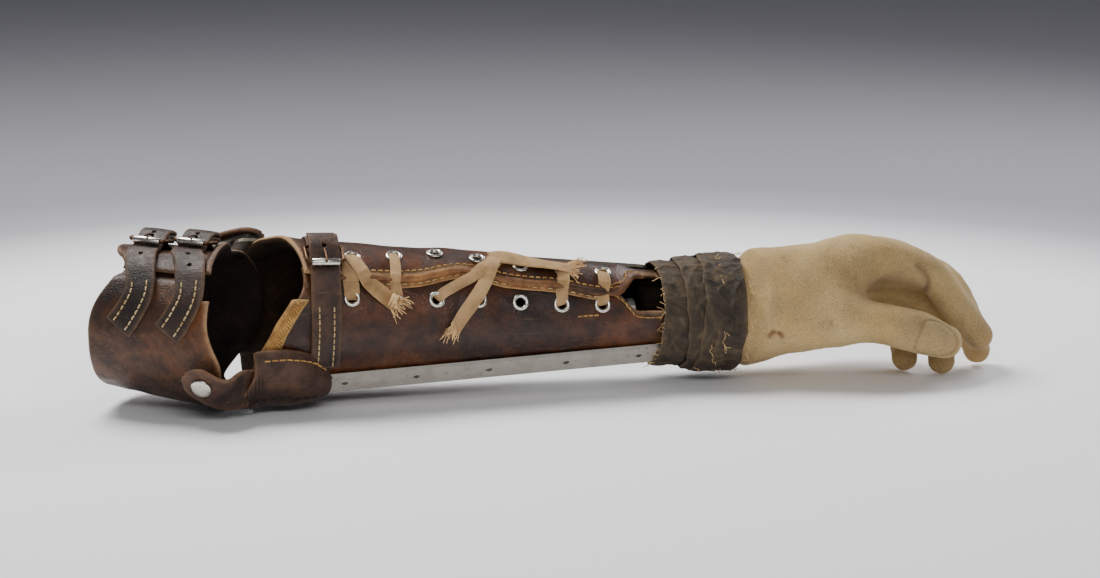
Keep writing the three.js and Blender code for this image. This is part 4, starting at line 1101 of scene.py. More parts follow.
def build_medial_cover():
    """Leather cover over the medial joint, with its stitched rows."""
    pieces = [sheet("medial_leather_cover", cover_point, (48, 48), (130, 64), COVER_LEATHER, FOREARM, None,
                    "strap_leather", [SOCKET_LINING, COVER], edge=0.8, rim=0.8, node="medial_joint_cover")]
    fine = np.linspace(0, 1, 240)
    for row, (place, span, material, options) in COVER_ROWS.items():
        grid = cover_point(np.linspace(*span, 70)[:, None], fine[None, :])
        pick = int(place * 239)
        out = unit(np.cross(np.gradient(grid, axis=0), np.gradient(grid, axis=1)))[:, pick]
        out = out * np.sign((out @ bar_out(MEDIAL)).mean())
        pieces.append(make(f"medial_cover_{row}_stitches", stitch_row(grid[:, pick] + out, out, **options),
                           [material], None, FOREARM))
    for piece in pieces:
        FOREARM.out(on_bar(MEDIAL, 2, 0, 6))
        FOREARM.out(on_bar(MEDIAL, -24, 0, 6))
        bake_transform(piece)


# ---- cuff surface -----------------------------------------------------------------------------

def around_cuff(s, phi, radius):
    """Points round the cuff's axis; phi is 0 at the camera side and 90 on top."""
    turn = np.radians(np.asarray(phi, float))
    return np.stack(np.broadcast_arrays(-s, -radius * np.cos(turn), radius * np.sin(turn)), -1)


def cuff_dent(s, phi):
    """Hollow that the two buckles press into the top of the cuff."""
    turn = np.mod(phi, 360)
    hollow = bump(turn, 100, np.where(turn < 100, 36, 27))
    return CUFF_DENT * hollow * smoothstep(s, 4, 11) * (1 - 0.6 * smoothstep(s, 57, 67))


def on_cuff(s, phi, lift=0.0):
    s = np.asarray(s, float)
    radius = mix(CUFF_DISTAL_RADIUS, CUFF_PROXIMAL_RADIUS, s / CUFF_LENGTH) - cuff_dent(s, phi)
    return around_cuff(s, phi, radius + np.asarray(lift, float))


def out_cuff(phi):
    return around_cuff(0.0, phi, 1.0)


def cuff_near_edge(s):
    """Edge of the near panel, which tucks under the far one beneath the straps."""
    return 26 + 26 * smoothstep(s, 8, 22)


def cuff_distal_rim(phi):
    return (14 * bump(phi, -133, 22) + 9 * bump(phi, -245, 34) + 5 * bump(phi, -300, 25)
            - 8 * bump(phi, -22, 20) - 1)


def cuff_proximal_rim(phi):
    return CUFF_LENGTH - 13 * smoothstep(phi, -30, 30) ** 1.5 - 13 * bump(phi, -313, 20) - 2


def build_cuff():
    """Leather shell, open on top, with the near panel tucked under the far one."""
    def surface(u, v):
        guess = mix(26.0, CUFF_FAR_EDGE, u)
        s = mix(cuff_distal_rim(guess), cuff_proximal_rim(guess), v)
        phi = mix(cuff_near_edge(s), CUFF_FAR_EDGE, u)
        inward = s - cuff_distal_rim(guess)
        lift = -LEATHER / 2 + 1.8 * np.exp(-inward / 4) * smoothstep(phi, -12, 18)
        lift = lift + 3.0 * bump(phi, -313, 15) * smoothstep(s, 46, 60)
        lift = lift - 3.4 * smoothstep(phi, 36, 45)
        spot = on_cuff(s, phi, lift)
        broad = ripples(spot, 46, 51)
        lift = lift + 0.45 * broad + 0.15 * ripples(spot, 15, 52)
        lift = lift - 0.35 * np.clip(broad, 0, 1) * bump(phi, -90, 40)
        return on_cuff(s, phi, lift)

    def rim(u, v):
        return np.where((v < 0.4) & (u < 0.35), 1.0, 0.45)

    sheet("cuff_leather", surface, (250, 64), (230, 60), LEATHER, CUFF, "cuff", "socket_leather",
          [SHADED_CUFF_LINING, CUFF_LEATHER], edge=LEATHER_EDGE, rim=rim, node="cuff_shell")


# ---- hinge tabs -------------------------------------------------------------------------------

def build_hinge_tab(side, label):
    """Leather tab from under the cover to the cuff rivet; it turns to lie on the cuff."""
    s, phi = CUFF_RIVETS[side]
    first = on_bar(side, PIVOT_X, TAB_ROOT_FRONT[side], BAR_THICKNESS + LINK_CLEARANCE + TAB_HEIGHT)
    last = FOREARM.into(CUFF.out(on_cuff(s, phi, HINGE_STANDOFF + TAB_HEIGHT)))
    first_out = unit(bar_out(side) + np.array([0, 0, TAB_LEAN[side]]))
    last_out = CUFF.out_way(out_cuff(phi)) @ FOREARM.turn
    reach = last - first
    length = np.linalg.norm(reach)
    first_way = unit(reach - first_out * (reach @ first_out))
    last_way = unit(reach - last_out * (reach @ last_out))
    near, far = first + first_way * length * 0.45, last - last_way * length * 0.42
    distance = np.linspace(TAB_START[side], length + TAB_OVERRUN, 44)
    t = np.clip(distance / length, 0, 1)[:, None]
    centres = ((1 - t) ** 3 * first + 3 * (1 - t) ** 2 * t * near
               + 3 * (1 - t) * t ** 2 * far + t ** 3 * last)
    centres = centres + first_way * np.minimum(distance, 0)[:, None]
    centres = centres + last_way * np.maximum(distance - length, 0)[:, None]
    outs = unit(mix(first_out, last_out, smoothstep(t, 0, 1)))
    centres = centres + outs * TAB_CROWN * bump(t, 0.5, 0.25)
    across = unit(np.cross(outs, unit(np.gradient(centres, axis=0))))
    tip = rounded_tip(TAB_TIP_RADIUS, side == LATERAL)

    def taper(distance, total):
        wide = 1 + 0.16 * bump(distance, 10, 9) if side == MEDIAL else 1.0
        return wide * tip(distance, total)

    ribbon(f"{label}_hinge_leather", centres, across, TAB_WIDTH, TAB_THICKNESS, FOREARM, "elbow_links",
           "tab_leather", [TAB], taper=taper, sag=0.5, groove=(2.2, 0.22), edge=1.1, rim=0.7,
           count=int(length_of(centres) / 0.8), node=f"{label}_hinge_tab")


def build_cuff_rivet(side, label):
    """Domed rivet through tab, link and cuff, with its washer inside."""
    s, phi = CUFF_RIVETS[side]
    top = HINGE_STANDOFF + TAB_HEIGHT + TAB_THICKNESS / 2 + 0.3
    under = [(0.02, -2.4), (4.4, -2.2), (4.7, -1.7), (4.4, -1.2), (2.3, -1.1)]
    head = [(2.3, 0), (5.0, 0), (5.3, 0.25), (5.2, 0.6), (4.6, 1.0), (3.2, 1.35), (1.4, 1.5), (0.02, 1.5)]
    profile = [(r, h - LEATHER) for r, h in under] + [(r, h + top) for r, h in head]
    make(f"{label}_cuff_rivet_head", lathe(profile, on_cuff(s, phi), out_cuff(phi), 48), [NICKEL],
         "elbow_links", CUFF, f"{label}_cuff_rivet")


# ---- buckles and straps -----------------------------------------------------------------------

def buckle_frame(label):
    """Buckle's own frame from its joints: x to the strap's tip, y across, z out of the leather."""
    prong, roller = JOINTS[f"{label}_prong_lift"], JOINTS[f"{label}_roller_turn"]
    across = unit(prong["axis"])
    gap = (np.array(prong["pos_m"]) - np.array(roller["pos_m"])) / MM
    x = unit(BUCKLE_LENGTH * gap + (REAR_BAR_HEIGHT - ROLLER_HEIGHT) * np.cross(across, gap))
    z = np.cross(x, across)
    origin = np.array(prong["pos_m"]) - (x * REAR_BAR_AT + z * REAR_BAR_HEIGHT) * MM
    return Frame(np.stack([x, across, z], 1), origin)


def buckle_loop():
    """Centres of the wire frame: a rounded oblong that dips to the rear bar."""
    half, corner = STRAP_WIDTH / 2 + 1.7, 2.6
    rear, front, side = REAR_BAR_AT - corner, ROLLER_AT + corner, half - corner
    centres = []
    for x, y, start in ((rear, side, 0), (front, side, 90), (front, -side, 180), (rear, -side, 270)):
        for turn in np.radians(np.linspace(start, start + 90, 9)):
            px = x + corner * math.cos(turn)
            share = (px - ROLLER_AT) / BUCKLE_LENGTH
            height = mix(ROLLER_HEIGHT, REAR_BAR_HEIGHT, share) + 0.9 * math.sin(math.pi * share)
            centres.append((px, y + corner * math.sin(turn), height))
    return centres


def build_buckle(label, body):
    """Wire frame on its body, and the roller and the prong on their own."""
    part = buckle_frame(label)
    wire = tube(buckle_loop(), WIRE_RADIUS, 14, closed=True)
    make(f"{label}_buckle_loop", wire, [BROWN_WIRE], body, part, f"{label}_buckle_frame")
    reach = STRAP_WIDTH / 2 - 0.6
    profile = [(1.35, -reach), (1.85, -reach), (2.0, -reach + 0.25), (2.0, reach - 0.25), (1.85, reach),
               (1.35, reach), (1.35, -reach)]
    roll = lathe(profile, np.array([ROLLER_AT, 0, ROLLER_HEIGHT]), np.array([0, 1.0, 0]), 32)
    make(f"{label}_buckle_roll", roll, [NICKEL], f"{label}_roller_body", part,
         f"{label}_buckle_roller")
    eye = round_rear_bar(np.linspace(0, 330, 14), 2.0)
    share = np.linspace(0, 1, 14)[:, None]
    start = np.array([REAR_BAR_AT - 0.5, 0, REAR_BAR_HEIGHT + 2.1])
    end = np.array([ROLLER_AT - 2.6, 0, ROLLER_HEIGHT + 3.2])
    shank = mix(start, end, share) + np.array([0, 0, 0.9]) * np.sin(math.pi * share)
    tongue = merge([tube(eye, 0.75, 10), tube(shank, mix(*PRONG_RADIUS, share[:, 0]), 12)])
    make(f"{label}_buckle_tongue", tongue, [BROWN_WIRE], f"{label}_prong_body", part,
         f"{label}_buckle_prong")
    return part


def round_rear_bar(degrees, radius):
    turn = np.radians(degrees)
    x, z = REAR_BAR_AT + radius * np.cos(turn), REAR_BAR_HEIGHT + radius * np.sin(turn)
    return np.stack([x, 0 * turn, z], 1)


def build_strap(label, node, part, buckle, before, after, across, body, holes, stitched):
    """Strap through its buckle, with a rounded tip, punched holes and two stitched rows at its foot.
    holes and stitched are shares of its length; across is made from the centres if it is None."""
    through = [[ROLLER_AT - 3, 0, 2.4], [ROLLER_AT, 0, 2.5], [ROLLER_AT + 3, 0, 3.8], [0, 0, 6.0],
               PRONG_HOLE, [REAR_BAR_AT, 0, 8.1], [REAR_BAR_AT + 4, 0, 7.4]]
    centres = np.concatenate([before, part.into(buckle.out(through)), after])
    if across is None:
        way = unit(np.gradient(centres, axis=0))
        axis = np.array([1.0, 0, 0])
        across = -unit(axis - way * (way @ axis)[:, None])
    across = np.broadcast_to(across, centres.shape)
    name = f"{label}_buckle_strap"
    strap = ribbon(name, centres, across, STRAP_WIDTH, STRAP_THICKNESS, part, body, "strap_leather",
                   [STRAP], taper=rounded_tip(), groove=(1.9, 0.2), edge=0.9, rim=0.8, sag=0.2, node=node)
    count = 300
    share = np.linspace(0, 1, count)
    fine = curve(centres, share)
    sides = unit(curve(centres, share, across))
    outs = unit(np.cross(unit(np.gradient(fine, axis=0)), sides))
    prong_spot = part.into(buckle.out(PRONG_HOLE))
    picks = [int(hole * (count - 1)) for hole in holes]
    picks.append(int(np.argmin(np.linalg.norm(fine - prong_spot, axis=1))))
    drill(strap, [lathe([(1.2, -3), (1.2, 3)], fine[i], outs[i], 16) for i in picks], part)
    foot = slice(*(int(end * (count - 1)) for end in stitched))
    rows = []
    for offset in (-STRAP_STITCH_OFFSET, STRAP_STITCH_OFFSET):
        path = fine[foot] + sides[foot] * offset + outs[foot] * (STRAP_THICKNESS / 2 + 0.05)
        rows.append(stitch_row(path[::4], outs[foot][::4], pitch=3.3, length=2.4, radius=0.4))
    make(name + "_stitches", merge(rows), [CREAM_THREAD], body, part)


def build_chape(label, node, part, buckle, tail, body):
    """Short strap that loops round the buckle's rear bar and is sewn down behind it."""
    loop = round_rear_bar(np.linspace(250, 90, 12), 2.25)
    upper = [[REAR_BAR_AT + x, 0, REAR_BAR_HEIGHT + z] for x, z in ((3, 1.7), (6.5, 0.5), (10, -0.6))]
    centres = np.concatenate([tail, part.into(buckle.out(np.concatenate([loop, upper])))])
    across = part.into(buckle.out([0, 1, 0])) - part.into(buckle.out([0, 0, 0]))
    ribbon(f"{label}_buckle_chape", centres, across, STRAP_WIDTH - 1, CHAPE_THICKNESS, part, body,
           "strap_leather", [STRAP], edge=0.6, rim=0.6, count=90, node=node)


def build_forearm_strap():
    buckle = build_buckle("forearm", "forearm")
    alphas = np.array([70, 62, 52, 42, 32, 22, 13, 4])
    before = on_forearm(FOREARM_STRAP_X, alphas, mix(STRAP_LIFT, 5.6, 1 - smoothstep(alphas, 2, 22)) - 0.3)
    after = on_forearm(FOREARM_STRAP_X, [-29, -34], [9.0, 7.6])
    build_strap("forearm", "forearm_strap", FOREARM, buckle, before, after, [-1.0, 0, 0], "forearm",
                (), (0.02, 0.42))
    alphas = np.array([-68, -58, -48, -38, -32])
    tail = on_forearm(FOREARM_STRAP_X, alphas, STRAP_LIFT - 0.4 + flap_lift(FOREARM_STRAP_X, alphas))
    build_chape("forearm", "forearm_chape", FOREARM, buckle, tail, "forearm")


# Cuff straps: buckle and foot along the cuff, and the holes' shares of the strap
CUFF_STRAPS = {"proximal": (46.0, 47.0, (0.5,)), "distal": (22.0, 20.0, (0.42, 0.52))}
# A strap's way from its foot: (toward the elbow from the foot, phi)
CUFF_STRAP_SLANT = np.array([(-0.6, 1.5), (-3.0, 6), (-7, 16), (-9.4, 26), (-8.6, 36), (-6, 48), (-4, 56)])


def build_cuff_straps():
    for label, (buckle_s, foot, holes) in CUFF_STRAPS.items():
        buckle = build_buckle(label, "cuff")
        s = np.append(foot + CUFF_STRAP_SLANT[:, 0], buckle_s - 1)
        phi = np.append(CUFF_STRAP_SLANT[:, 1], 66)
        before = on_cuff(s, phi, STRAP_LIFT - 0.3 + 1.1 * smoothstep(phi, 38, 50))
        after = on_cuff(buckle_s, [111, 118], [9.0, 8.2])
        build_strap(label, f"{label}_cuff_strap", CUFF, buckle, before, after, None, "cuff", holes,
                    (0.02, 0.33))
        tail = on_cuff(buckle_s, [138, 130, 122, 114, 107], STRAP_LIFT - 0.4)
        build_chape(label, f"{label}_cuff_chape", CUFF, buckle, tail, "cuff")


# ---- wrist tape -------------------------------------------------------------------------------

# Turns of tape: start, end, slant, height over the turn below, seed
TAPE_TURNS = ((201.0, 219.5, 1.2, 0.0, 61), (215.5, 236.0, -2.2, 0.0, 62), (224.0, 242.0, 2.4, 0.7, 63),
              (231.0, 247.5, 0.9, 1.1, 64))
# Edges that fray: place, slant, height of the thread roots, way along the arm
TAPE_FRAYS = ((201.3, 1.2, 0.4, -0.7), (236.0, -2.2, 1.1, 0.7), (247.5, 0.9, 1.1, 0.7))
# Long threads that lie on the tape: start, alpha, reach, seed
TAPE_THREADS = ((228, 62, 17, 72), (234, 48, 13, 73), (222, 95, 12, 75))


def tape_radius(x):
    return mix(*TAPE_RADIUS, smoothstep(x, TAPE_STEP - 1.5, TAPE_STEP + 1.5))


def build_tape_turn(i, start, end, slant, lift, seed):
    """One wound turn of cloth, with its own slant, folds and ragged edges."""
    def surface(u, v):
        alpha = 360 * u
        ragged = 0.55 * ripples(along_turn(alpha, 0.5), 11, seed)
        x = mix(start + ragged, end + ragged * 0.7, v) + slant * np.cos(np.radians(alpha + 40 * i))
        radius = tape_radius(start + 3) + lift
        spot = polar(x, -alpha, radius) * np.array([0.55, 1.0, 0.62])
        folds = 1 - np.abs(ripples(spot, 17, seed + 20, 5))
        creases = 1 - np.abs(ripples(spot, 8, seed + 30, 6))
        radius = radius + 1.1 * np.clip(folds, 0, 1) ** 3 + 0.6 * np.clip(creases, 0, 1) ** 3 - 0.6
        radius = radius - 0.5 * (bump(v, 0, 0.08) + bump(v, 1, 0.08))
        return polar(x, alpha, radius)

    node = "wrist_tape" if i + 1 == len(TAPE_TURNS) else None
    sheet(f"tape_turn_{i + 1}", surface, (180, end - start), (360, 54), TAPE_THICKNESS, FOREARM, "forearm",
          "tape", [TAPE], edge=0.4, ring=True, rim=0.9, node=node)


def build_tape():
    """Wound turns, the threads that fray from their edges, and a few that lie on them."""
    for i, turn in enumerate(TAPE_TURNS):
        build_tape_turn(i, *turn)
    random = np.random.default_rng(70)
    roots, ways = [], []
    for start, slant, height, ahead in TAPE_FRAYS:
        for alpha in random.uniform(0, 360, 46):
            x = start + slant * math.cos(math.radians(alpha))
            roots.append(polar(x, alpha, tape_radius(start) + height))
            swirl = polar(0, alpha + 90, 1.0) * random.uniform(-1, 1)
            ways.append(np.array([ahead, 0, 0]) + swirl + polar(0, alpha, 0.15))
    make("tape_loose_threads", threads(roots, ways, 3.6, 0.13, 71, 0.7), [LACE_THREAD], "forearm",
         FOREARM)
    lying = []
    for start, alpha, reach, seed in TAPE_THREADS:
        random = np.random.default_rng(seed)
        steps = np.linspace(0, 1, 26)
        xs = start + np.cumsum(random.normal(size=26)) * 0.45 + steps * reach * 0.35
        alphas = alpha + steps * reach * 1.6 + np.cumsum(random.normal(size=26)) * 0.8
        lying.append(tube(polar(xs, alphas, tape_radius(start) + 2.0), 0.13, 6))
    make("tape_lying_threads", merge(lying), [LACE_THREAD], "forearm", FOREARM)


# ---- hand -------------------------------------------------------------------------------------

# Joints are (x from the elbow, y, z above the surface, radius)
PALM = (
    ((226, -1, 37, 24), (258, -1, 39, 25.5)),
    ((256, -4, 44, 24), (306, -19, 62, 14.5)),
    ((256, 0, 43, 23), (312, -5, 57, 13.5)),
    ((256, 4, 39, 22), (310, 11, 48, 12.5)),
    ((256, 6, 33, 20), (302, 24, 39, 11.5)),
    ((250, -6, 33, 24), (292, -28, 38, 15.5)),
    ((262, -16, 42, 20), (300, -26, 49, 9.5)),
    ((250, 2, 28, 19), (296, 16, 27, 13)),
    ((270, -2, 40, 22), (300, 2, 44, 14)),
)
FINGERS = {
    "index": ((300, -19, 63, 13.5), (311, -20.6, 66.4, 12.2), (337, -20, 63, 9.9), (351, -19, 56, 9.3),
              (368.5, -17, 35, 8.3), (382.5, -15, 19.5, 7.3)),
    "middle": ((304, -4, 57, 12.5), (318, -4, 58, 11.7), (348, -5, 56, 9.9), (364, -5, 49, 9.3),
               (379, -5, 28, 8.3), (385.5, -3, 9, 7.4)),
    "ring": ((302, 12, 48, 12), (314, 13, 49, 11.2), (344, 8, 46, 9.5), (358, 3, 37, 8.9), (363, -9, 20, 8.1),
             (359, -21, 8, 7.2)),
    "little": ((296, 24, 38, 11), (305, 27, 39, 10.2), (328, 22, 37, 8.7), (340, 15, 29, 8.1),
               (345, 3, 15, 7.5), (342, -9, 7.6, 6.8)),
    "thumb": ((280, -25, 36, 15.5), (296, -35, 36, 12.8), (319, -39, 33.5, 10.9), (340, -38, 27.5, 11.2),
              (355, -36, 21.8, 9)),
}
PALM_SOFTNESS = 9.0
FINGER_SOFTNESS = {"thumb": 9.0}
HAND_BOX = np.array([218.0, -58, -4]), np.array([400.0, 46, 88])
HAND_STEP = 1.25
WRIST_CUT = 224.0
WRIST_RADIUS = 27.6
NAIL_WAY = np.array([-0.1, -1.0, 0.05])
# Creases of the finger joints: (path, width, depth, strength of the painted shade along it)
HAND_CREASES = (
    (((341, -30, 63), (344, -29, 60), (347, -28, 55), (348, -25, 50), (348, -20, 46)), 1.1, 1.3, 0.75),
    (((334, -30, 60), (340, -30, 58)), 1.0, 0.5, 0.3),
    (((306, -34, 55), (300, -33, 60)), 1.6, 0.4, 0.35),
)
# Marks on the felt: (place, size, strength, kind)
HAND_MARKS = (
    ((259, -35, 30), 2.4, 0.9, "stain"),
    ((264, -35, 29), 1.6, 0.7, "stain"),
    ((271, -20, 68), 2.4, 0.6, "soil_and_crease_shade"),
    ((253, -34, 49), 2.2, 0.55, "soil_and_crease_shade"),
    ((252, -26, 59), 1.8, 0.35, "soil_and_crease_shade"),
    ((286, -46, 36), 2.4, 0.5, "soil_and_crease_shade"),
    ((337, -46, 37), 2.2, 0.5, "soil_and_crease_shade"),
    ((313, -34, 62), 7.0, 0.35, "soil_and_crease_shade"),
)


def cone_field(points, a, b):
    """Signed distance to a round cone between two (x, y, z, radius) joints."""
    a, b = np.asarray(a, float), np.asarray(b, float)
    way = b[:3] - a[:3]
    t = np.clip((points - a[:3]) @ way / (way @ way), 0, 1)
    return np.linalg.norm(points - a[:3] - t[..., None] * way, axis=-1) - mix(a[3], b[3], t)


def soft_min(a, b, width):
    h = np.clip(0.5 + 0.5 * (b - a) / width, 0, 1)
    return mix(b, a, h) - width * h * (1 - h)


def hand_field(points):
    """Signed distance to the palm with its fingers."""
    body = cone_field(points, *PALM[0])
    for a, b in PALM[1:]:
        body = soft_min(body, cone_field(points, a, b), PALM_SOFTNESS)
    for name, joints in FINGERS.items():
        line = curve(joints, np.linspace(0, 1, 14))
        digit = np.min([cone_field(points, a, b) for a, b in zip(line[:-1], line[1:])], axis=0)
        body = soft_min(body, digit, FINGER_SOFTNESS.get(name, 7.0))
    return body


def surface_net(field, origin, step):
    """Quad mesh of the zero level of a sampled field: one point per cell that the level crosses."""
    inside = field < 0
    cells = np.array(field.shape) - 1
    total = np.zeros((*cells, 3))
    hits = np.zeros(cells)
    for axis in range(3):
        first, second = [k for k in range(3) if k != axis]
        low = np.take(field, range(field.shape[axis] - 1), axis)
        high = np.take(field, range(1, field.shape[axis]), axis)
        crossed = (low < 0) != (high < 0)
        share = np.where(crossed, low / np.where(crossed, low - high, 1), 0)
        index = np.stack(np.meshgrid(*[np.arange(n) for n in low.shape], indexing="ij"), -1).astype(float)
        index[..., axis] += share
        for i in (0, 1):
            for j in (0, 1):
                slices = [slice(None)] * 3
                slices[first] = slice(i, i + cells[first])
                slices[second] = slice(j, j + cells[second])
                mark = crossed[tuple(slices)]
                total += np.where(mark[..., None], index[tuple(slices)], 0)
                hits += mark
    used = hits > 0
    number = np.full(used.shape, -1)
    number[used] = np.arange(used.sum())
    points = total[used] / hits[used][:, None] * step + origin
    faces = []
    for axis in range(3):
        j, k = (axis + 1) % 3, (axis + 2) % 3
        low = np.take(inside, range(inside.shape[axis] - 1), axis)
        high = np.take(inside, range(1, inside.shape[axis]), axis)
        for flip, mark in ((False, low & ~high), (True, ~low & high)):
            spots = np.argwhere(mark)
            within = (spots[:, [j, k]] > 0) & (spots[:, [j, k]] < cells[[j, k]])
            spots = spots[within.all(axis=1)]
            corners = []
            for dj, dk in ((-1, -1), (0, -1), (0, 0), (-1, 0)):
                cell = spots.copy()
                cell[:, j] += dj
                cell[:, k] += dk
                corners.append(number[tuple(cell.T)])
            quads = np.stack(corners, 1)
            faces.append(quads[:, ::-1] if flip else quads)
    return points, np.concatenate(faces)


def settle(points, field, rounds):
    """Moves points onto the zero level of a field."""
    steps = np.eye(3) * 0.2
    for _ in range(rounds):
        slope = np.stack([field(points + step) - field(points - step) for step in steps], -1)
        points = points - unit(slope) * np.clip(field(points), -1.5, 1.5)[:, None]
    return points


def nearest_on(points, path):
    return np.min(np.linalg.norm(points[:, None] - path[None], axis=-1), axis=1)


def nail_path():
    """Outline groove of the thumbnail, on the side of the thumb that faces forward."""
    tip, root = (np.array(FINGERS["thumb"][i][:3], float) for i in (-1, -3))
    way = unit(tip - root)
    out = unit(NAIL_WAY - way * (NAIL_WAY @ way))
    turn = np.linspace(0, 2 * math.pi, 90)[:, None]
    spots = (mix(root, tip, 0.74) + out * 6 + way * np.cos(turn) * 12.0
             + np.cross(way, out) * np.sin(turn) * 9.2)
    return settle(spots, hand_field, 6)


def hand_with_wrist(points):
    """Signed distance to the hand, thinned under the tape and cut off inside it."""
    radial = points - LEVEL.into(FOREARM.out([WRIST_CUT, 0, 0]))
    depth = radial @ along
    around = np.linalg.norm(radial - depth[..., None] * along, axis=-1)
    past_tape = depth - (TAPE_END - WRIST_CUT)
    neck = around - (WRIST_RADIUS + 60 * smoothstep(past_tape, 2, 34))
    return np.maximum(-soft_min(-hand_field(points), -neck, 3.0), -depth)


def mesh_values(mesh, key):
    values = np.zeros(len(mesh.vertices) * 3)
    mesh.vertices.foreach_get(key, values)
    return values.reshape(-1, 3)


def build_hand():
    """Felt hand from its distance field, with creases, a thumbnail, painted shade in the creases and the nail
    groove, dirty spots and stains.
    """
    low, high = HAND_BOX
    axes = [np.arange(a, b + HAND_STEP, HAND_STEP) for a, b in zip(low, high)]
    grid = np.stack(np.meshgrid(*axes, indexing="ij"), -1)
    points, faces = surface_net(hand_with_wrist(grid), low, HAND_STEP)
    points = settle(points, hand_with_wrist, 2)
    hand = make("felt_hand", (points, faces), [FELT], None, LEVEL)
    fine = hand.modifiers.new("fine", "SUBSURF")
    fine.levels = fine.render_levels = 1
    bake(hand)
    mesh = hand.data
    points = LEVEL.into(mesh_values(mesh, "co"))
    shift = 0.22 * ripples(points, 22, 81) + 0.07 * ripples(points, 6, 82)
    marks = {"soil_and_crease_shade": np.zeros(len(points)), "stain": np.zeros(len(points))}
    for spot, size, depth, painted_crease_shade in HAND_CREASES:
        near = nearest_on(points, curve(spot, np.linspace(0, 1, 24)))
        shift -= depth * bump(near, 0, size)
        # painted shade: the felt is darkened along each crease
        marks["soil_and_crease_shade"] += painted_crease_shade * bump(near, 0, size * 2.2)
    near = nearest_on(points, nail_path())
    shift -= 0.7 * bump(near, 0, 0.8)
    # painted shade along the thumbnail's groove
    marks["soil_and_crease_shade"] += 0.6 * bump(near, 0, 0.9)
    for spot, size, strength, kind in HAND_MARKS:
        blot = np.linalg.norm(points - np.asarray(spot), axis=-1) + 1.4 * ripples(points, 4, 83)
        marks[kind] += strength * bump(blot, 0, size)
    points = points + mesh_values(mesh, "normal") * shift[:, None]
    mesh.vertices.foreach_set("co", LEVEL.out(points).ravel())
    for name, values in marks.items():
        point_field(mesh, name, np.clip(values, 0, 1))
    mesh.polygons.foreach_set("use_smooth", np.ones(len(mesh.polygons), bool))
    mesh.update()
    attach(hand, "forearm")
    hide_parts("hand")


# ---- stage ------------------------------------------------------------------------------------

FLOOR_GAP = 0.2
FLOOR_RINGS = (1.0, 200, 300, 380, 440, 500, 560, 620, 700, 800, 920, 1100, 2000, 5000)
FLOOR_SIDES = 72
WORLD_LIGHT = (0.62, 0.64, 0.7, 1)
WORLD_STRENGTH = 0.28
# Lights: place from the arm's middle in metres (right, away, up), size, power, colour
LIGHTS = {"key": ((-0.55, 0.35, 1.15), (0.8, 0.6), 25, (1, 0.985, 0.96)),
          "front": ((0.2, -1.5, 0.9), (1.2, 0.5), 11, (1, 0.99, 0.98)),
          "rim": ((0.7, 0.8, 0.7), (0.8, 0.4), 8, (0.97, 0.98, 1))}


def build_stage():
    """Pale floor with painted light: bright under the arm, and painted darker grey away from it."""
    s = Shader("studio_floor")
    # Painted light: the floor's colour falls off from white under the arm to grey far away, with a faint
    # random mottle.
    cloudy_painted_falloff = s.maths("ADD", s.field("depth"), s.span(s.noise(1.2, 3, 0.5), 0.3, 0.7, -0.02, 0.02))
    shades = [(0.0, (253, 253, 255)), (0.3, (220, 220, 224)), (0.7, (166, 166, 171)), (1.0, (146, 145, 151))]
    s.set(Base_Color=s.ramp(cloudy_painted_falloff, shades), Roughness=0.75, Specular_IOR_Level=0.2)
    turn = circle(FLOOR_SIDES)
    ring = np.stack([np.cos(turn), np.sin(turn), 0 * turn], 1)
    middle = elbow_centre / MM + ARM_MIDDLE
    middle[2] = cad_low[2] / MM - FLOOR_GAP
    points = np.concatenate([ring * reach + middle for reach in FLOOR_RINGS])
    faces = [tuple(range(FLOOR_SIDES))]
    for a, b, c, d in ring_faces(len(FLOOR_RINGS), FLOOR_SIDES):
        faces.append((a, d, c, b))
    # The depth field is the painted light falloff: 0 under the arm, 1 far away.
    depth = np.repeat(smoothstep(FLOOR_RINGS, 400, 720), FLOOR_SIDES)
    make("studio_floor", (points, faces), [s.material], None, fields={"depth": depth})


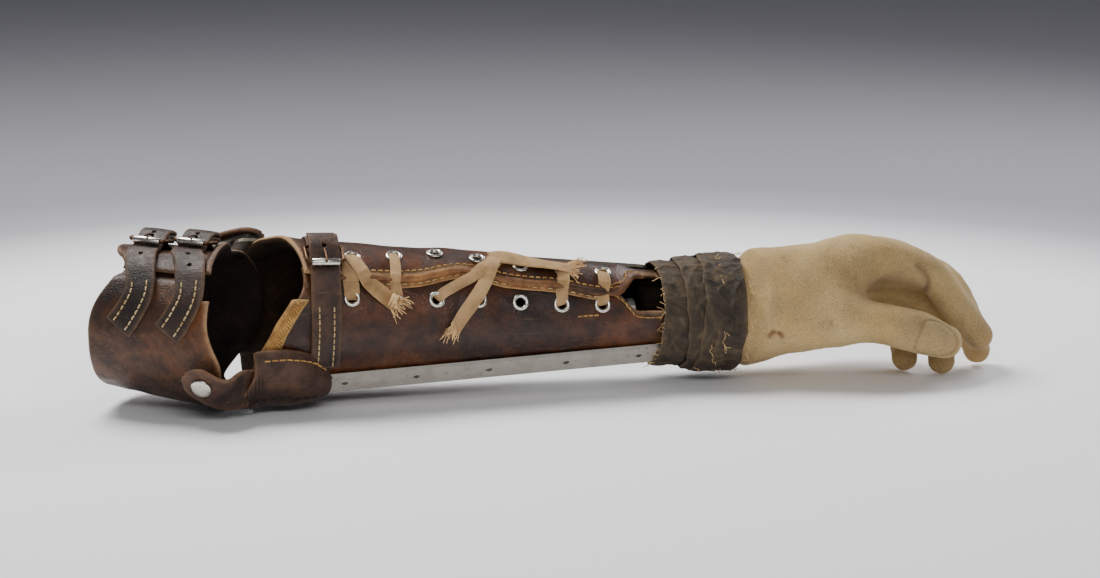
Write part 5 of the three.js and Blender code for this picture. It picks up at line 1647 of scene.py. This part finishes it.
def aim(name, data, place, target):
    """Puts a light or a camera in the scene, looking at the target."""
    obj = bpy.data.objects.new(name, data)
    bpy.context.scene.collection.objects.link(obj)
    back = unit(place - target)
    right = unit(np.cross([0, 0, 1.0], back))
    matrix = np.eye(4)
    matrix[:3, :3] = np.stack([right, np.cross(back, right), back], 1)
    matrix[:3, 3] = place
    obj.matrix_world = mathutils.Matrix(matrix.tolist())
    return obj


def build_light_and_camera():
    """Soft studio light, and the camera at the viewing angle."""
    scene = bpy.context.scene
    scene.world = scene.world or bpy.data.worlds.new("studio")
    scene.world.use_nodes = True
    background = scene.world.node_tree.nodes["Background"].inputs
    background["Color"].default_value = WORLD_LIGHT
    background["Strength"].default_value = WORLD_STRENGTH
    target = elbow_centre + ARM_MIDDLE * MM
    view = turn_z(VIEW_AZIMUTH)
    for name, (place, size, power, colour) in LIGHTS.items():
        data = bpy.data.lights.new(name, "AREA")
        data.shape = "RECTANGLE"
        data.size, data.size_y = size
        data.energy = power
        data.color = colour
        aim(name, data, target + view @ np.array(place), target)
    data = bpy.data.cameras.new("camera")
    data.lens = LENS
    data.sensor_width = SENSOR_WIDTH
    data.clip_start = 0.05
    rise = math.radians(VIEW_ELEVATION)
    back = view @ np.array([0, -math.cos(rise), math.sin(rise)])
    scene.camera = aim("camera", data, target + back * VIEW_DISTANCE, target)


# ---- the whole arm ----------------------------------------------------------------------------

build_socket()
build_binding()
build_lacing_edge()
build_wrist_opening_stitches()
build_eyelets()
build_laces()
build_cuff()
build_cuff_straps()
build_forearm_strap()
build_medial_cover()
for side, label in ((MEDIAL, "medial"), (LATERAL, "lateral")):
    build_bar_rivets(side, label)
    build_hinge_tab(side, label)
    build_cuff_rivet(side, label)
build_tape()
build_hand()
for node, material, width in (("medial_side_bar", STEEL, 0.35), ("lateral_side_bar", SHADED_LATERAL_BAR_STEEL, 0.35),
                              ("medial_elbow_link", STEEL, 0.25), ("medial_pivot_pin", STEEL, 0.25),
                              ("lateral_elbow_link", PIN_STEEL, 0.25), ("lateral_pivot_pin", PIN_STEEL, 0.25),
                              ("wrist_stud", STEEL, 0.25), ("wrist_block", WOOD, 0.4)):
    finish_node(node, material, width)
build_stage()
build_light_and_camera()
